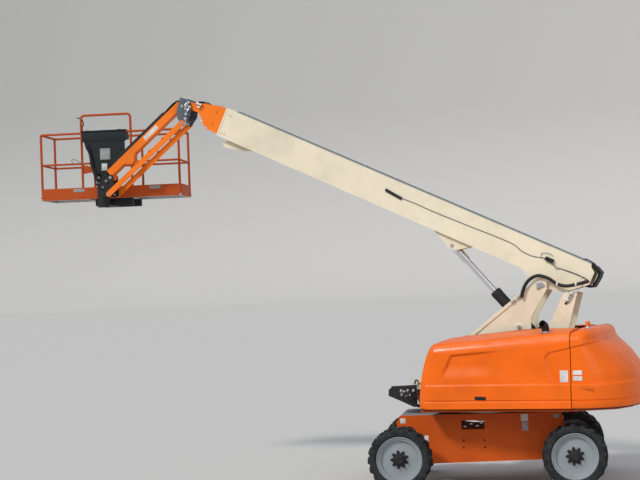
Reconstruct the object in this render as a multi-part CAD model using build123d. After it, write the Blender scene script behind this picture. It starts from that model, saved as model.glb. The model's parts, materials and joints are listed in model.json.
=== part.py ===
# Self-propelled telescopic boom lift with an articulating jib and a work platform
# Shared frame: millimetres, +X to the counterweight end, +Y away from the near side, +Z up, ground at z 0
from build123d import *
import os
from math import cos, sin, radians, atan2, degrees, hypot

os.makedirs("parts", exist_ok=True)

# Driving dimensions of the running gear, drawn straight and then turned as the turret stands in the photo
CHASSIS_TURN = 11.3
WHEELBASE = 2480.0
OVERALL_W = 2490.0
TYRE_OD = 920.0
TYRE_W = 355.0
RIM_OD = 660.0
LUG_DEPTH = 24.0
LUGS = 18
CHASSIS_Z0 = 321.0
CHASSIS_Z1 = 1030.0
CHASSIS_HALF_W = 560.0
KINGPIN_Y = 830.0
WALL = 14.0
FIT = 0.3

# Driving dimensions of the turret
DECK_Z = 1110.0
DECK_T = 22.0
HOOD_X0 = -743.0
DOOR_X1 = 1474.0
TAIL_GAP = 12.0
TAIL_X = 2350.0
HOOD_Y = 1200.0
HOOD_IN_Y = 400.0
HOOD_Z0 = 1154.0
ROOF_Z = 2100.0
ROOF_RISE = 0.068
ROOF_FALL = 0.123
ROOF_FLAT_Z = 2245.0
TOWER_Y = 222.0
TOWER_T = 24.0
BASE_PIN = (840.0, 2028.0)

# Driving dimensions of the boom, measured from its pivot along and square to the boom
PIVOT_X = 901.0
PIVOT_Z = 2882.0
BOOM_ANGLE = 25.35
BASE_REAR = 650.0
BASE_FRONT = 5690.0
BASE_V0 = 105.0
BASE_V1 = 565.0
BASE_HALF_W = 170.0
TUBE_T = 10.0
TUBE_GAP = 16.0
MID_REACH = 210.0
ROD_PIN = (-1474.0, -12.0)
BARREL_R = 82.0
ROD_R = 45.0

# Driving dimensions of the jib and the platform
KNUCKLE_X = -4700.0
KNUCKLE_Z = 5930.0
JIB_ANGLE = 38.3
JIB_LEN = 1720.0
JIB_PIN_X = KNUCKLE_X - 85
JIB_PIN_Z = KNUCKLE_Z - 10
LINK_DROP = 270.0
JIB_HALF_W = 62.0
LINK_Y = 150.0
LINK_T = 18.0
LINK_R = 44.0
ROTATOR_REACH = 185.185
PLATFORM_TURN = 13.5
PLATFORM_X0 = -1120.0
PLATFORM_LEN = 2372.0
PLATFORM_DEEP = 850.0
PLATFORM_Y0 = 235.0
FLOOR_DROP = 271.98
FLOOR_T = 42.0
RAIL_H = 1052.0
MID_RAIL_H = 548.0
HIGH_RAIL_H = 1345.0
TOE_H = 150.0
HIGH_X0 = -405.0
HIGH_X1 = 430.0
POST_R = 21.0
RAIL_R = 19.0


def save(node, shape):
    export_step(shape, "parts/" + node + ".step")


def block(x0, x1, y0, y1, z0, z1):
    return Pos((x0 + x1) / 2, (y0 + y1) / 2, (z0 + z1) / 2) * Box(x1 - x0, y1 - y0, z1 - z0)


# A plate drawn in X and Z and given its thickness along Y
def side_plate(points, y0, y1):
    face = make_face(Polyline(*[(x, 0, z) for x, z in points], close=True))
    return Pos(0, y0, 0) * extrude(face, amount=y1 - y0, dir=(0, 1, 0))


# A plate drawn in X and Y and given its thickness along Z
def flat_plate(points, z0, z1):
    face = make_face(Polyline(*[(x, y, 0) for x, y in points], close=True))
    return Pos(0, 0, z0) * extrude(face, amount=z1 - z0, dir=(0, 0, 1))


# A round bar between two points
def bar(p, q, r, hole=0.0):
    a = Vector(*p)
    b = Vector(*q)
    plane = Plane(origin=a, z_dir=b - a)
    sketch = Circle(r)
    if hole:
        sketch -= Circle(hole)
    return extrude(plane * sketch, amount=(b - a).length)


# A round bar along Y
def cross_pin(x, z, r, y0, y1, hole=0.0):
    return bar((x, y0, z), (x, y1, z), r, hole)


# A round bore through a shape along Y
def bore(shape, x, z, r):
    return shape - cross_pin(x, z, r, -3000, 3000)


def one(*shapes):
    total = shapes[0]
    for item in shapes[1:]:
        total = total + item
    return total


# A box tube along X with open ends
def tube(x0, x1, half_w, z0, z1, t):
    outer = block(x0, x1, -half_w, half_w, z0, z1)
    inner = block(x0 - 1, x1 + 1, -half_w + t, half_w - t, z0 + t, z1 - t)
    return outer - inner


# What stands on the ground is drawn square and saved turned about the swing axis
TURNED = Rot(0, 0, CHASSIS_TURN)

# Wheels
WHEEL_X = WHEELBASE / 2
WHEEL_Y = (OVERALL_W - TYRE_W) / 2
HUB_Z = TYRE_OD / 2
RIM_R = RIM_OD / 2
HALF_TYRE = TYRE_W / 2


# A ring of lugs standing on a round tread, with its first lug at the given share of a step
def lug_ring(y0, y1, share):
    outer = TYRE_OD / 2
    root = outer - LUG_DEPTH
    step = 360.0 / LUGS
    points = []
    for i in range(LUGS):
        for turn, r in ((-0.30, root), (-0.22, outer), (0.22, outer), (0.30, root)):
            a = radians((i + share + turn) * step)
            points.append((r * cos(a), r * sin(a)))
    ring = make_face(Polyline(*[(x, 0, z) for x, z in points], close=True))
    ring = Pos(0, y0, 0) * extrude(ring, amount=y1 - y0, dir=(0, 1, 0))
    return ring


# The carcass between the lugs' roots and the rim has straight sides and few facets
CARCASS_SIDES = 24


def tyre_at(x, side):
    root = TYRE_OD / 2 - LUG_DEPTH
    carcass = make_face(RegularPolygon(root - 34, CARCASS_SIDES).edges())
    carcass = Rot(90, 0, 0) * extrude(carcass, amount=HALF_TYRE, both=True)
    tyre = carcass + lug_ring(-HALF_TYRE + 14, 0, 0.0) + lug_ring(0, HALF_TYRE - 14, 0.5)
    tyre -= bar((0, -TYRE_W, 0), (0, TYRE_W, 0), RIM_R - 6)
    return Pos(x, side * WHEEL_Y, HUB_Z) * tyre


# A rim with its stepped dish and the hub in the middle, drawn for the far side
def rim_at(x, side):
    dish = HALF_TYRE - 84
    section = Polyline(
        (RIM_R - 6, 30 - HALF_TYRE),
        (RIM_R - 6, HALF_TYRE - 30),
        (RIM_R - 22, HALF_TYRE - 30),
        (RIM_R - 34, HALF_TYRE - 62),
        (RIM_R - 60, HALF_TYRE - 62),
        (RIM_R - 78, dish),
        (118, dish),
        (118, HALF_TYRE - 50),
        (52, HALF_TYRE - 50),
        (52, HALF_TYRE - 26),
        (0, HALF_TYRE - 26),
        (0, HALF_TYRE - 130),
        (RIM_R - 40, HALF_TYRE - 130),
        (RIM_R - 40, 30 - HALF_TYRE),
        close=True,
    )
    rim = revolve(Plane.XY * make_face(section), Axis.Y)
    if side < 0:
        rim = mirror(rim, Plane.XZ)
    return Pos(x, side * WHEEL_Y, HUB_Z) * rim


WHEELS = (
    ("drive_near", -WHEEL_X, -1),
    ("drive_far", -WHEEL_X, 1),
    ("steer_near", WHEEL_X, -1),
    ("steer_far", WHEEL_X, 1),
)
for name, x, side in WHEELS:
    save(name + "_tyre", TURNED * tyre_at(x, side))
    save(name + "_rim", TURNED * rim_at(x, side))

# Chassis, a welded box with sloping ends and an open underside
CHASSIS_OUT = (
    (-1271, CHASSIS_Z1),
    (-1334, 930),
    (-1316, 846),
    (-826, CHASSIS_Z0),
    (784, 352),
    (1056, 630),
    (1080, CHASSIS_Z1),
)
CHASSIS_IN = (
    (-1256, CHASSIS_Z1 + 5),
    (-1319, 928),
    (-1301, 852),
    (-820, CHASSIS_Z0 - 5),
    (770, CHASSIS_Z0 - 5),
    (1042, 636),
    (1065, CHASSIS_Z1 + 5),
)
IN_Y = CHASSIS_HALF_W - WALL
SEAT_Y = IN_Y - FIT
solid_box = side_plate(CHASSIS_OUT, -CHASSIS_HALF_W, CHASSIS_HALF_W)


# A shape seated against the outside of the chassis box
def against_box(shape):
    return shape - Pos(FIT, 0, -FIT) * solid_box - Pos(-FIT, 0, -FIT) * solid_box


# Side plates with a slot and four holes each
HOLE_R = 15.0
sides = []
for y0 in (-CHASSIS_HALF_W, IN_Y):
    plate = side_plate(CHASSIS_OUT, y0, y0 + WALL)
    plate -= block(-381, -45, y0 - 5, y0 + WALL + 5, 807, 937)
    for x in (-357, -51):
        for z in (545, 648):
            plate -= cross_pin(x, z, HOLE_R, y0 - 5, y0 + WALL + 5)
    sides.append(plate)
save("chassis_sides", TURNED * Compound(children=sides))
top = block(-1300, 1100, -SEAT_Y, SEAT_Y, CHASSIS_Z1 - WALL, CHASSIS_Z1) & solid_box
save("chassis_top", TURNED * top)
ends = side_plate(CHASSIS_OUT, -SEAT_Y, SEAT_Y) - side_plate(CHASSIS_IN, -IN_Y, IN_Y)
ends -= block(-1300, 1100, -IN_Y, IN_Y, CHASSIS_Z1 - WALL - FIT, CHASSIS_Z1 + 5)
save("chassis_ends", TURNED * Compound(children=[s for s in ends.solids()]))
# The steered axle hangs under a bracket that reaches over it
NOSE_HALF = 300.0
bracket = block(1000, 1480, -NOSE_HALF, NOSE_HALF, 600, 700)
bracket += block(1000, 1100, -NOSE_HALF, NOSE_HALF, 560, 900)
save("axle_bracket", TURNED * against_box(bracket))

# Drive axle, held under the chassis by two cheeks
drive_axle = block(-WHEEL_X - 95, -WHEEL_X + 95, -700, 700, 400, 560)
drive_axle += block(-WHEEL_X - 75, -WHEEL_X + 75, -480, 480, 560, CHASSIS_Z1 - 180)
for side in (-1, 1):
    y0 = side * 700
    y1 = side * (WHEEL_Y + HALF_TYRE - 130 - FIT)
    drive_axle += bar((-WHEEL_X, y0, HUB_Z), (-WHEEL_X, y1, HUB_Z), 150)
save("drive_axle", TURNED * against_box(drive_axle))

# Steer axle with a fork at each end
AXLE_Y = 690.0
steer_axle = block(WHEEL_X - 80, WHEEL_X + 80, -AXLE_Y, AXLE_Y, 395, 525)
steer_axle += block(WHEEL_X - 110, WHEEL_X + 110, -200, 200, 525, 600)
for side in (-1, 1):
    for z0, z1 in ((330, 370), (550, 590)):
        ya, yb = sorted((side * (AXLE_Y - 50), side * KINGPIN_Y))
        arm = block(WHEEL_X - 70, WHEEL_X + 70, ya, yb, z0, z1)
        arm += bar((WHEEL_X, side * KINGPIN_Y, z0), (WHEEL_X, side * KINGPIN_Y, z1), 70)
        arm -= bar((WHEEL_X, side * KINGPIN_Y, z0 - 5), (WHEEL_X, side * KINGPIN_Y, z1 + 5), 26 + FIT)
        steer_axle += arm
    ya, yb = sorted((side * (AXLE_Y - 50), side * AXLE_Y))
    steer_axle += block(WHEEL_X - 70, WHEEL_X + 70, ya, yb, 330, 590)
save("steer_axle", TURNED * steer_axle)

# Steer knuckles, each with its kingpin and its stub
for name, side in (("near", -1), ("far", 1)):
    y = side * KINGPIN_Y
    body = bar((WHEEL_X, y, 378), (WHEEL_X, y, 542), 66)
    body += bar((WHEEL_X, y, 325), (WHEEL_X, y, 595), 26)
    y1 = side * (WHEEL_Y + HALF_TYRE - 130 - FIT)
    body += bar((WHEEL_X, y, HUB_Z), (WHEEL_X, y1, HUB_Z), 72)
    body += block(WHEEL_X - 200, WHEEL_X, *sorted((y - side * 35, y + side * 5)), 440, 470)
    save("steer_knuckle_" + name, TURNED * body)

# Swing bearing and the turret deck
save("swing_bearing", bar((0, 0, CHASSIS_Z1), (0, 0, DECK_Z - FIT), 500, 120))
NOSE_Y = 520.0
NOSE_X1 = -951.0
DECK_TOP = DECK_Z + DECK_T
deck = flat_plate(
    (
        (-1000, -370), (-1000, 370), (-720, 370), (-720, 1120), (1500, 1120), (2050, 800), (2200, 400),
        (2200, -400), (2050, -800), (1500, -1120), (-720, -1120), (-720, -370),
    ),
    DECK_Z, DECK_TOP,
)
deck -= bar((0, 0, DECK_Z - 5), (0, 0, DECK_TOP + 5), 120)
save("turret_deck", deck)

# The nose of the turret in front of the hoods, a hollow box around the foot of the tower with a
# higher plate on its near side
NOSE_T = 15.0
NOSE_FOOT = ((NOSE_X1, DECK_TOP), (-1006, DECK_TOP), (-1209, 1224))
NOSE_PLATE = ((-1394, 1302), (-1389, 1388), (-1372, 1410), (-1352, 1413), (-1345, 1444), (NOSE_X1, 1461)) + NOSE_FOOT
NOSE_BOX = ((-1394, 1302), (-1389, 1368), (NOSE_X1, 1378)) + NOSE_FOOT
NOSE_IN = ((-1379, 1308), (-1375, 1354), (NOSE_X1 + 1, 1363), (NOSE_X1 + 1, DECK_TOP + 15),
           (-1000, DECK_TOP + 15), (-1202, 1238))
nose = side_plate(NOSE_BOX, -NOSE_Y, NOSE_Y) - side_plate(NOSE_IN, -NOSE_Y + NOSE_T, NOSE_Y - NOSE_T)
nose += side_plate(NOSE_PLATE, -NOSE_Y, -NOSE_Y + NOSE_T)
slot_y = TOWER_Y + TOWER_T + 6
nose -= block(-1135, NOSE_X1 + 1, -slot_y, slot_y, DECK_Z, 1500)
save("turret_nose", nose)

# The tower, two side plates joined by cross plates
LOBE_R = 100.0
TOWER = (
    (-990, DECK_TOP), (-1120, 1454), (-196, 2159), (656, 2804), (830, 2952), (960, 2962), (1002, 2816),
    (751, 2414), (744, 2236), (1000, 1950), (1060, 1700), (1060, DECK_TOP),
)
tower = None
for side in (-1, 1):
    ya, yb = sorted((side * TOWER_Y, side * (TOWER_Y + TOWER_T)))
    plate = side_plate(TOWER, ya, yb)
    plate += cross_pin(PIVOT_X, PIVOT_Z, LOBE_R, ya, yb)
    tower = plate if tower is None else tower + plate
front = side_plate(((-1110, 1462), (-196, 2157), (-196, 2130), (-1095, 1446)), -TOWER_Y, TOWER_Y)
tower += front & side_plate(TOWER, -TOWER_Y, TOWER_Y)
tower += block(1036, 1060, -TOWER_Y, TOWER_Y, DECK_TOP, 1690)
tower = bore(tower, PIVOT_X, PIVOT_Z, 45 + FIT)
save("tower", tower)

# Boom pivot pin with its keeper
save("boom_pivot_pin", cross_pin(PIVOT_X, PIVOT_Z, 45, -TOWER_Y - TOWER_T - 14, TOWER_Y + TOWER_T + 14))

# Lift cylinder base pin between the tower plates
save("lift_base_pin", cross_pin(BASE_PIN[0], BASE_PIN[1], 34, -TOWER_Y, TOWER_Y))

# The strut behind the tower
STRUT = ((1000, 1950), (1060, 1700), (1250, 2100), (1306, 2266), (1441, 2741), (1244, 2747), (1007, 2273))
strut = side_plate(STRUT, -TOWER_Y - TOWER_T, -TOWER_Y)
strut += side_plate(STRUT, TOWER_Y, TOWER_Y + TOWER_T)
strut += block(1100, 1124, -TOWER_Y, TOWER_Y, 2050, 2260)
save("rear_strut", strut)


# Height of the hoods' and the tail's roof, which rises to the rear and falls to each side
def roof_z(x, y):
    return min(ROOF_Z + ROOF_RISE * x + ROOF_FALL * (HOOD_Y - abs(y)), ROOF_FLAT_Z)


# All that lies above the roof on the far side
def above_roof(drop):
    z0 = ROOF_Z - drop
    x0 = -3000.0
    x1 = 3000.0
    y0 = -500.0
    y1 = HOOD_Y + 300
    corners = []
    for x in (x0, x1):
        for y in (y0, y1):
            corners.append((x, y, z0 + ROOF_RISE * x + ROOF_FALL * (HOOD_Y - y)))
    face = Face(Wire.make_polygon([corners[0], corners[1], corners[3], corners[2]]))
    return extrude(face, amount=2000, dir=(0, 0, 1))


# Hoods, hollow doors hinged along their inboard top edge
HOOD_SIDE = (
    (HOOD_X0, HOOD_Z0), (HOOD_X0, 1294), (-724, 1466), (-694, 1653), (-641, 1853), (-589, 1981), (-529, 2066),
    (-424, 2130), (-240, 2158), (63, 2185), (DOOR_X1, 2310), (DOOR_X1, HOOD_Z0),
)
SKIN = 10.0
HINGE_X0 = 100.0
HINGE_X1 = 1440.0
HINGE_Z = 2160.0
HINGE_R = 12.0


def hood(side):
    outer = side_plate(HOOD_SIDE, HOOD_IN_Y, HOOD_Y)
    outer -= above_roof(0)
    outer = outer & block(-3000, 3000, 0, 3000, 0, ROOF_FLAT_Z)
    rear = DOOR_X1 - 2 * SKIN
    hollow = HOOD_SIDE[:-2] + ((rear, 2310), (rear, HOOD_Z0))
    inner = Pos(SKIN, 0, -SKIN) * side_plate(hollow, HOOD_IN_Y, HOOD_Y - SKIN)
    inner -= above_roof(SKIN)
    inner = inner & block(-3000, 3000, 0, 3000, 0, ROOF_FLAT_Z - SKIN)
    shell = outer - inner
    # A flange along the inboard edge carries the hinge
    shell += block(HINGE_X0, HINGE_X1, HOOD_IN_Y, HOOD_IN_Y + 12, HINGE_Z - 30, ROOF_FLAT_Z) & outer
    return shell if side > 0 else mirror(shell, Plane.XZ)


save("hood_near", hood(-1))
save("hood_far", hood(1))

# Hinge bars along the inboard edges, held up by posts on the deck
bars = []
HINGE_Y = HOOD_IN_Y - HINGE_R - FIT
for side in (-1, 1):
    y = side * HINGE_Y
    piece = bar((HINGE_X0, y, HINGE_Z), (HINGE_X1, y, HINGE_Z), HINGE_R)
    for x in (HINGE_X0 + 20, HINGE_X1 - 20):
        piece += block(x - 20, x + 20, y - 10, y + 10, DECK_TOP, HINGE_Z)
    bars.append(piece)
save("hood_hinge_bars", Compound(children=bars))

# Tail cover around the counterweight: half of its plan, the rest is its mirror
TAIL_X0 = DOOR_X1 + TAIL_GAP
COVER_Z = 1560.0
TAIL_SKIN = 14.0
TAIL_HALF = ((1660, 1195), (1830, 1150), (1990, 1055), (2130, 910), (2240, 700), (2320, 400), (TAIL_X, 0))
TAIL_TOP = ((TAIL_X0, ROOF_FLAT_Z), (1790, ROOF_FLAT_Z), (1862, 2215), (1905, 2140), (2110, 1990),
            (2260, 1790), (TAIL_X, 1600))


def tail_plan(inset):
    near = [(TAIL_X0 - inset, HOOD_Y - inset)] + [(x - inset, y - inset if y else 0) for x, y in TAIL_HALF]
    return near + [(x, -y) for x, y in reversed(near) if y]


# The tail's space between two heights, under its roof and its rounded rear
def tail_space(inset, z0, z1):
    space = flat_plate(tail_plan(inset), z0, z1)
    side = [(x, z - inset) for x, z in TAIL_TOP]
    side += [(TAIL_X, z0), (TAIL_X0 - inset, z0), (TAIL_X0 - inset, ROOF_FLAT_Z - inset)]
    space = space & side_plate(side[:-1] if not inset else side, -2000, 2000)
    space -= above_roof(inset)
    return space - mirror(above_roof(inset), Plane.XZ)


cover = tail_space(0, COVER_Z, ROOF_FLAT_Z) - tail_space(TAIL_SKIN, COVER_Z - 1, ROOF_FLAT_Z)
save("tail_cover", cover)

# Counterweight, one solid casting below the cover
save("counterweight", flat_plate(tail_plan(0), DECK_TOP, COVER_Z))

# Engine on the near side and the tank on the far side, standing on the deck
save("engine", block(-300, 760, -1000, -440, DECK_TOP, 1820))
save("fluid_tank", block(-300, 500, 440, 1000, DECK_TOP, 1700))

# Exhaust elbow on the near hood's roof and the beacon on the tail cover
EXHAUST_X = 1105.0
EXHAUST_Y = -950.0
EXHAUST_R = 54.0
EXHAUST_H = 108.0
# The mouth points outwards, forwards and a little up
MOUTH_AIM = (-0.36, -0.84, 0.40)
MOUTH_REACH = 85.0
foot_z = roof_z(EXHAUST_X, EXHAUST_Y)
near_sky = mirror(above_roof(-FIT), Plane.XZ)
bend = (EXHAUST_X, EXHAUST_Y, foot_z + EXHAUST_H)
mouth = [b + MOUTH_REACH * a for b, a in zip(bend, MOUTH_AIM)]
past_mouth = [b + (MOUTH_REACH + 15) * a for b, a in zip(bend, MOUTH_AIM)]
stack = bar((EXHAUST_X, EXHAUST_Y, foot_z - 40), bend, EXHAUST_R)
stack += Pos(*bend) * Sphere(EXHAUST_R)
stack += bar(bend, mouth, EXHAUST_R)
stack -= bar(bend, past_mouth, EXHAUST_R - 8)
save("exhaust", stack & near_sky)
BEACON = (1672.0, -750.0)
beacon_z = roof_z(*BEACON)
beacon = bar((*BEACON, beacon_z + FIT), (*BEACON, beacon_z + 30), 40)
beacon += bar((*BEACON, beacon_z + 30), (*BEACON, beacon_z + 112), 46)
save("beacon", beacon)

# Boom sections are drawn level about the pivot and then raised
LIFT = Pos(PIVOT_X, 0, PIVOT_Z) * Rot(0, BOOM_ANGLE, 0)
base = tube(-BASE_FRONT, BASE_REAR, BASE_HALF_W, BASE_V0, BASE_V1, TUBE_T)
# A bracket under its front end
FRONT_EAR = ((-5580, 8), (-5520, -30), (-5270, 20), (-5080, 84), (-5040, BASE_V0 + 1), (-5500, BASE_V0 + 1))
base += side_plate(FRONT_EAR, -60, 60)
REAR = BASE_REAR + 5
LOW_CUT = ((454, BASE_V0), (REAR, 281), (REAR, BASE_V0 - 5), (454, BASE_V0 - 5))
HIGH_CUT = ((560, BASE_V1 + 5), (583, 521), (REAR, 467), (REAR, BASE_V1 + 5))
base -= side_plate(LOW_CUT, -200, 200)
base -= side_plate(HIGH_CUT, -200, 200)
LUG_SIDE = ((-351, 300), (-351, BASE_V0), (-202, 23), (-75, -62), (75, -62), (160, -10), (354, 25),
            (560, 205), (560, 330))
for side in (-1, 1):
    ya, yb = sorted((side * (BASE_HALF_W - 1), side * (BASE_HALF_W + 18)))
    base += side_plate(LUG_SIDE, ya, yb)
# Wear pads inside the front end carry the next section
base += tube(-BASE_FRONT, -BASE_FRONT + 150, BASE_HALF_W, BASE_V0, BASE_V1, TUBE_T + TUBE_GAP - FIT)
base += cross_pin(0, 0, 56, -BASE_HALF_W - 18, BASE_HALF_W + 18)
base = bore(base, 0, 0, 45 + FIT)
# Ears for the lift cylinder under the boom
EAR = ((-1200, BASE_V0 + 1), (-1237, 65), (-1410, -60), (-1530, -60), (-1576, -23), (-1800, 79),
       (-1840, BASE_V0 + 1))
for side in (-1, 1):
    ya, yb = sorted((side * 80, side * 104))
    base += bore(side_plate(EAR, ya, yb), ROD_PIN[0], ROD_PIN[1], 30)
save("boom_base", LIFT * base)

MID_HALF = BASE_HALF_W - TUBE_T - TUBE_GAP
MID_V0 = BASE_V0 + TUBE_T + TUBE_GAP
MID_V1 = BASE_V1 - TUBE_T - TUBE_GAP
MID_FRONT = -BASE_FRONT - MID_REACH
mid = tube(MID_FRONT, BASE_REAR - 200, MID_HALF, MID_V0, MID_V1, TUBE_T)
mid += tube(MID_FRONT, MID_FRONT + 150, MID_HALF, MID_V0, MID_V1, TUBE_T + TUBE_GAP - FIT)
save("boom_mid", LIFT * mid)

FLY_HALF = MID_HALF - TUBE_T - TUBE_GAP
FLY_V0 = MID_V0 + TUBE_T + TUBE_GAP
FLY_V1 = MID_V1 - TUBE_T - TUBE_GAP
FLY_FRONT = MID_FRONT - 60
save("boom_fly", LIFT * tube(FLY_FRONT, BASE_REAR - 380, FLY_HALF, FLY_V0, FLY_V1, TUBE_T))


# The fly head, two plates in the boom's own frame out to the knuckle pin
def to_boom(x, z):
    dx = x - PIVOT_X
    dz = z - PIVOT_Z
    a = radians(BOOM_ANGLE)
    return (dx * cos(a) - dz * sin(a), dx * sin(a) + dz * cos(a))


KX, KZ = to_boom(KNUCKLE_X, KNUCKLE_Z)
HEAD_R = 52.0
HEAD_SIDE = ((FLY_FRONT, FLY_V0), (-5988, 167), (-6057, 256), (-6146, 318), (KX + 60, KZ - HEAD_R),
             (KX, KZ - HEAD_R), (KX, KZ + HEAD_R), (-6187, 455), (-6060, 500), (FLY_FRONT, FLY_V1))
head = None
for side in (-1, 1):
    ya, yb = sorted((side * (FLY_HALF - 1), side * (FLY_HALF - 21)))
    plate = side_plate(HEAD_SIDE, ya, yb) + cross_pin(KX, KZ, HEAD_R, ya, yb)
    head = plate if head is None else head + plate
head += block(FLY_FRONT - 40, FLY_FRONT, -FLY_HALF + 1, FLY_HALF - 1, FLY_V0 + 60, FLY_V1 - 20)
head = bore(head, KX, KZ, 25 + FIT)
save("fly_head", LIFT * head)

# Tray along the top of the boom
tray = block(-BASE_FRONT + 120, BASE_REAR - 20, -120, -60, BASE_V1, BASE_V1 + 14)
save("boom_tray", LIFT * tray)

# Lift cylinder: barrel on its base pin and rod up to the boom's ears
a = radians(BOOM_ANGLE)
ROD_X = PIVOT_X + ROD_PIN[0] * cos(a) + ROD_PIN[1] * sin(a)
ROD_Z = PIVOT_Z - ROD_PIN[0] * sin(a) + ROD_PIN[1] * cos(a)
cyl_dx = ROD_X - BASE_PIN[0]
cyl_dz = ROD_Z - BASE_PIN[1]
CYL_LEN = hypot(cyl_dx, cyl_dz)
ux = cyl_dx / CYL_LEN
uz = cyl_dz / CYL_LEN


def along(s):
    return (BASE_PIN[0] + ux * s, 0, BASE_PIN[1] + uz * s)


barrel = bar(along(60), along(1020), BARREL_R, 66)
barrel += bar(along(50), along(75), BARREL_R)
barrel += cross_pin(BASE_PIN[0], BASE_PIN[1], 72, -70, 70)
barrel = bore(barrel, BASE_PIN[0], BASE_PIN[1], 34 + FIT)
save("lift_barrel", barrel)
rod = bar(along(500), along(CYL_LEN - 40), ROD_R)
rod += bar(along(CYL_LEN - 297), along(CYL_LEN - 30), 60)
rod += bar(along(480), along(520), 66 - FIT)
rod += cross_pin(ROD_X, ROD_Z, 58, -66, 66)
rod = bore(rod, ROD_X, ROD_Z, 31)
save("lift_rod", rod)

# Knuckle that keeps its attitude as the boom rises, two plates outside the fly head
KN_Y = FLY_HALF + 5
KN_T = 20.0
# Its outline and its cross bar are drawn from the pin that holds it
AROUND_PIN = ((-107, 130), (39, 76), (75, -37), (42, -192), (-72, -333), (-174, -204), (-181, -63))
CROSS_BAR = ((-90, -290), (-20, -250), (-35, -230), (-105, -265))
KNUCKLE = [(KNUCKLE_X + x, KNUCKLE_Z + z) for x, z in AROUND_PIN]
kn = None
for side in (-1, 1):
    ya, yb = sorted((side * KN_Y, side * (KN_Y + KN_T)))
    plate = side_plate(KNUCKLE, ya, yb)
    kn = plate if kn is None else kn + plate
kn += side_plate([(KNUCKLE_X + x, KNUCKLE_Z + z) for x, z in CROSS_BAR], -KN_Y, KN_Y)
kn = bore(kn, KNUCKLE_X, KNUCKLE_Z, 25 + FIT)
kn = bore(kn, JIB_PIN_X, JIB_PIN_Z, 25 + FIT)
kn = bore(kn, JIB_PIN_X, JIB_PIN_Z - LINK_DROP, 21 + FIT)
save("jib_knuckle", kn)
save("knuckle_pin", cross_pin(KNUCKLE_X, KNUCKLE_Z, 25, -KN_Y - KN_T - 2, KN_Y + KN_T + 2))

# Jib arm, drawn level and then lowered; its tube lies above the line of its pins
ARM = Pos(JIB_PIN_X, 0, JIB_PIN_Z) * Rot(0, -JIB_ANGLE, 0)
ARM_V0 = 15.0
ARM_V1 = 135.0
ARM_END = -JIB_LEN + 15
arm = tube(ARM_END, -30, JIB_HALF_W, ARM_V0, ARM_V1, 8)
for x0 in (-90, ARM_END):
    arm += block(x0, x0 + 60, -JIB_HALF_W, JIB_HALF_W, ARM_V0, ARM_V1)
for x in (0, -JIB_LEN):
    arm += cross_pin(x, 0, 50, -JIB_HALF_W, JIB_HALF_W)
    arm += block(x - 30, x + 30, -JIB_HALF_W, JIB_HALF_W, 0, ARM_V0 + 20)
# A gusset under the arm near the platform
GUSSET = ((-1160, ARM_V0 + 1), (-1235, -70), (-1290, -82), (-1390, 5), (-1400, ARM_V0 + 1))
arm += side_plate(GUSSET, -JIB_HALF_W, JIB_HALF_W)
arm = bore(bore(arm, 0, 0, 25 + FIT), -JIB_LEN, 0, 25 + FIT)
save("jib_arm", ARM * arm)

# Lower links, flat bars outside the knuckle plates
LINK = Pos(JIB_PIN_X, 0, JIB_PIN_Z - LINK_DROP) * Rot(0, -JIB_ANGLE, 0)
links = []
for side in (-1, 1):
    ya, yb = sorted((side * LINK_Y, side * (LINK_Y + LINK_T)))
    piece = block(-JIB_LEN, 0, ya, yb, -LINK_R, LINK_R)
    for x in (0, -JIB_LEN):
        piece += cross_pin(x, 0, LINK_R, ya, yb)
    links.append(bore(bore(piece, 0, 0, 21 + FIT), -JIB_LEN, 0, 21 + FIT))
save("jib_links", LINK * Compound(children=links))

# Platform support with the rotator
b = radians(JIB_ANGLE)
END_X = JIB_PIN_X - JIB_LEN * cos(b)
END_Z = JIB_PIN_Z - JIB_LEN * sin(b)
LOW_Z = END_Z - LINK_DROP
ROTATOR_X = END_X - ROTATOR_REACH
FLOOR_Z = END_Z - FLOOR_DROP
BEAM_Z0 = FLOOR_Z - 200
BEAM_Z1 = FLOOR_Z - FLOOR_T
ROTATOR_R = 95.0
support = None
for side in (-1, 1):
    ya, yb = sorted((side * (JIB_HALF_W + 8), side * (JIB_HALF_W + 32)))
    pts = ((END_X + 50, END_Z + 20), (END_X + 50, LOW_Z - 30), (END_X - 10, BEAM_Z1 + 6),
           (ROTATOR_X - 20, BEAM_Z1 + 6), (ROTATOR_X - 20, END_Z - 70), (END_X - 50, END_Z + 20),
           (END_X - 20, END_Z + 45), (END_X + 20, END_Z + 45))
    plate = side_plate(pts, ya, yb)
    support = plate if support is None else support + plate
support += bar((ROTATOR_X, 0, BEAM_Z1 + FIT), (ROTATOR_X, 0, END_Z - 80), ROTATOR_R)
support = bore(bore(support, END_X, END_Z, 25 + FIT), END_X, LOW_Z, 21 + FIT)
save("platform_support", support)
PIN_Y = JIB_HALF_W + 36
LINK_PIN_Y = LINK_Y + LINK_T + 6
save("jib_pins", Compound(children=[
    cross_pin(END_X, END_Z, 25, -PIN_Y, PIN_Y),
    cross_pin(END_X, LOW_Z, 21, -LINK_PIN_Y, LINK_PIN_Y),
]))
save("knuckle_jib_pins", Compound(children=[
    cross_pin(JIB_PIN_X, JIB_PIN_Z, 25, -KN_Y - KN_T - 2, KN_Y + KN_T + 2),
    cross_pin(JIB_PIN_X, JIB_PIN_Z - LINK_DROP, 21, -LINK_PIN_Y, LINK_PIN_Y),
]))

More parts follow.
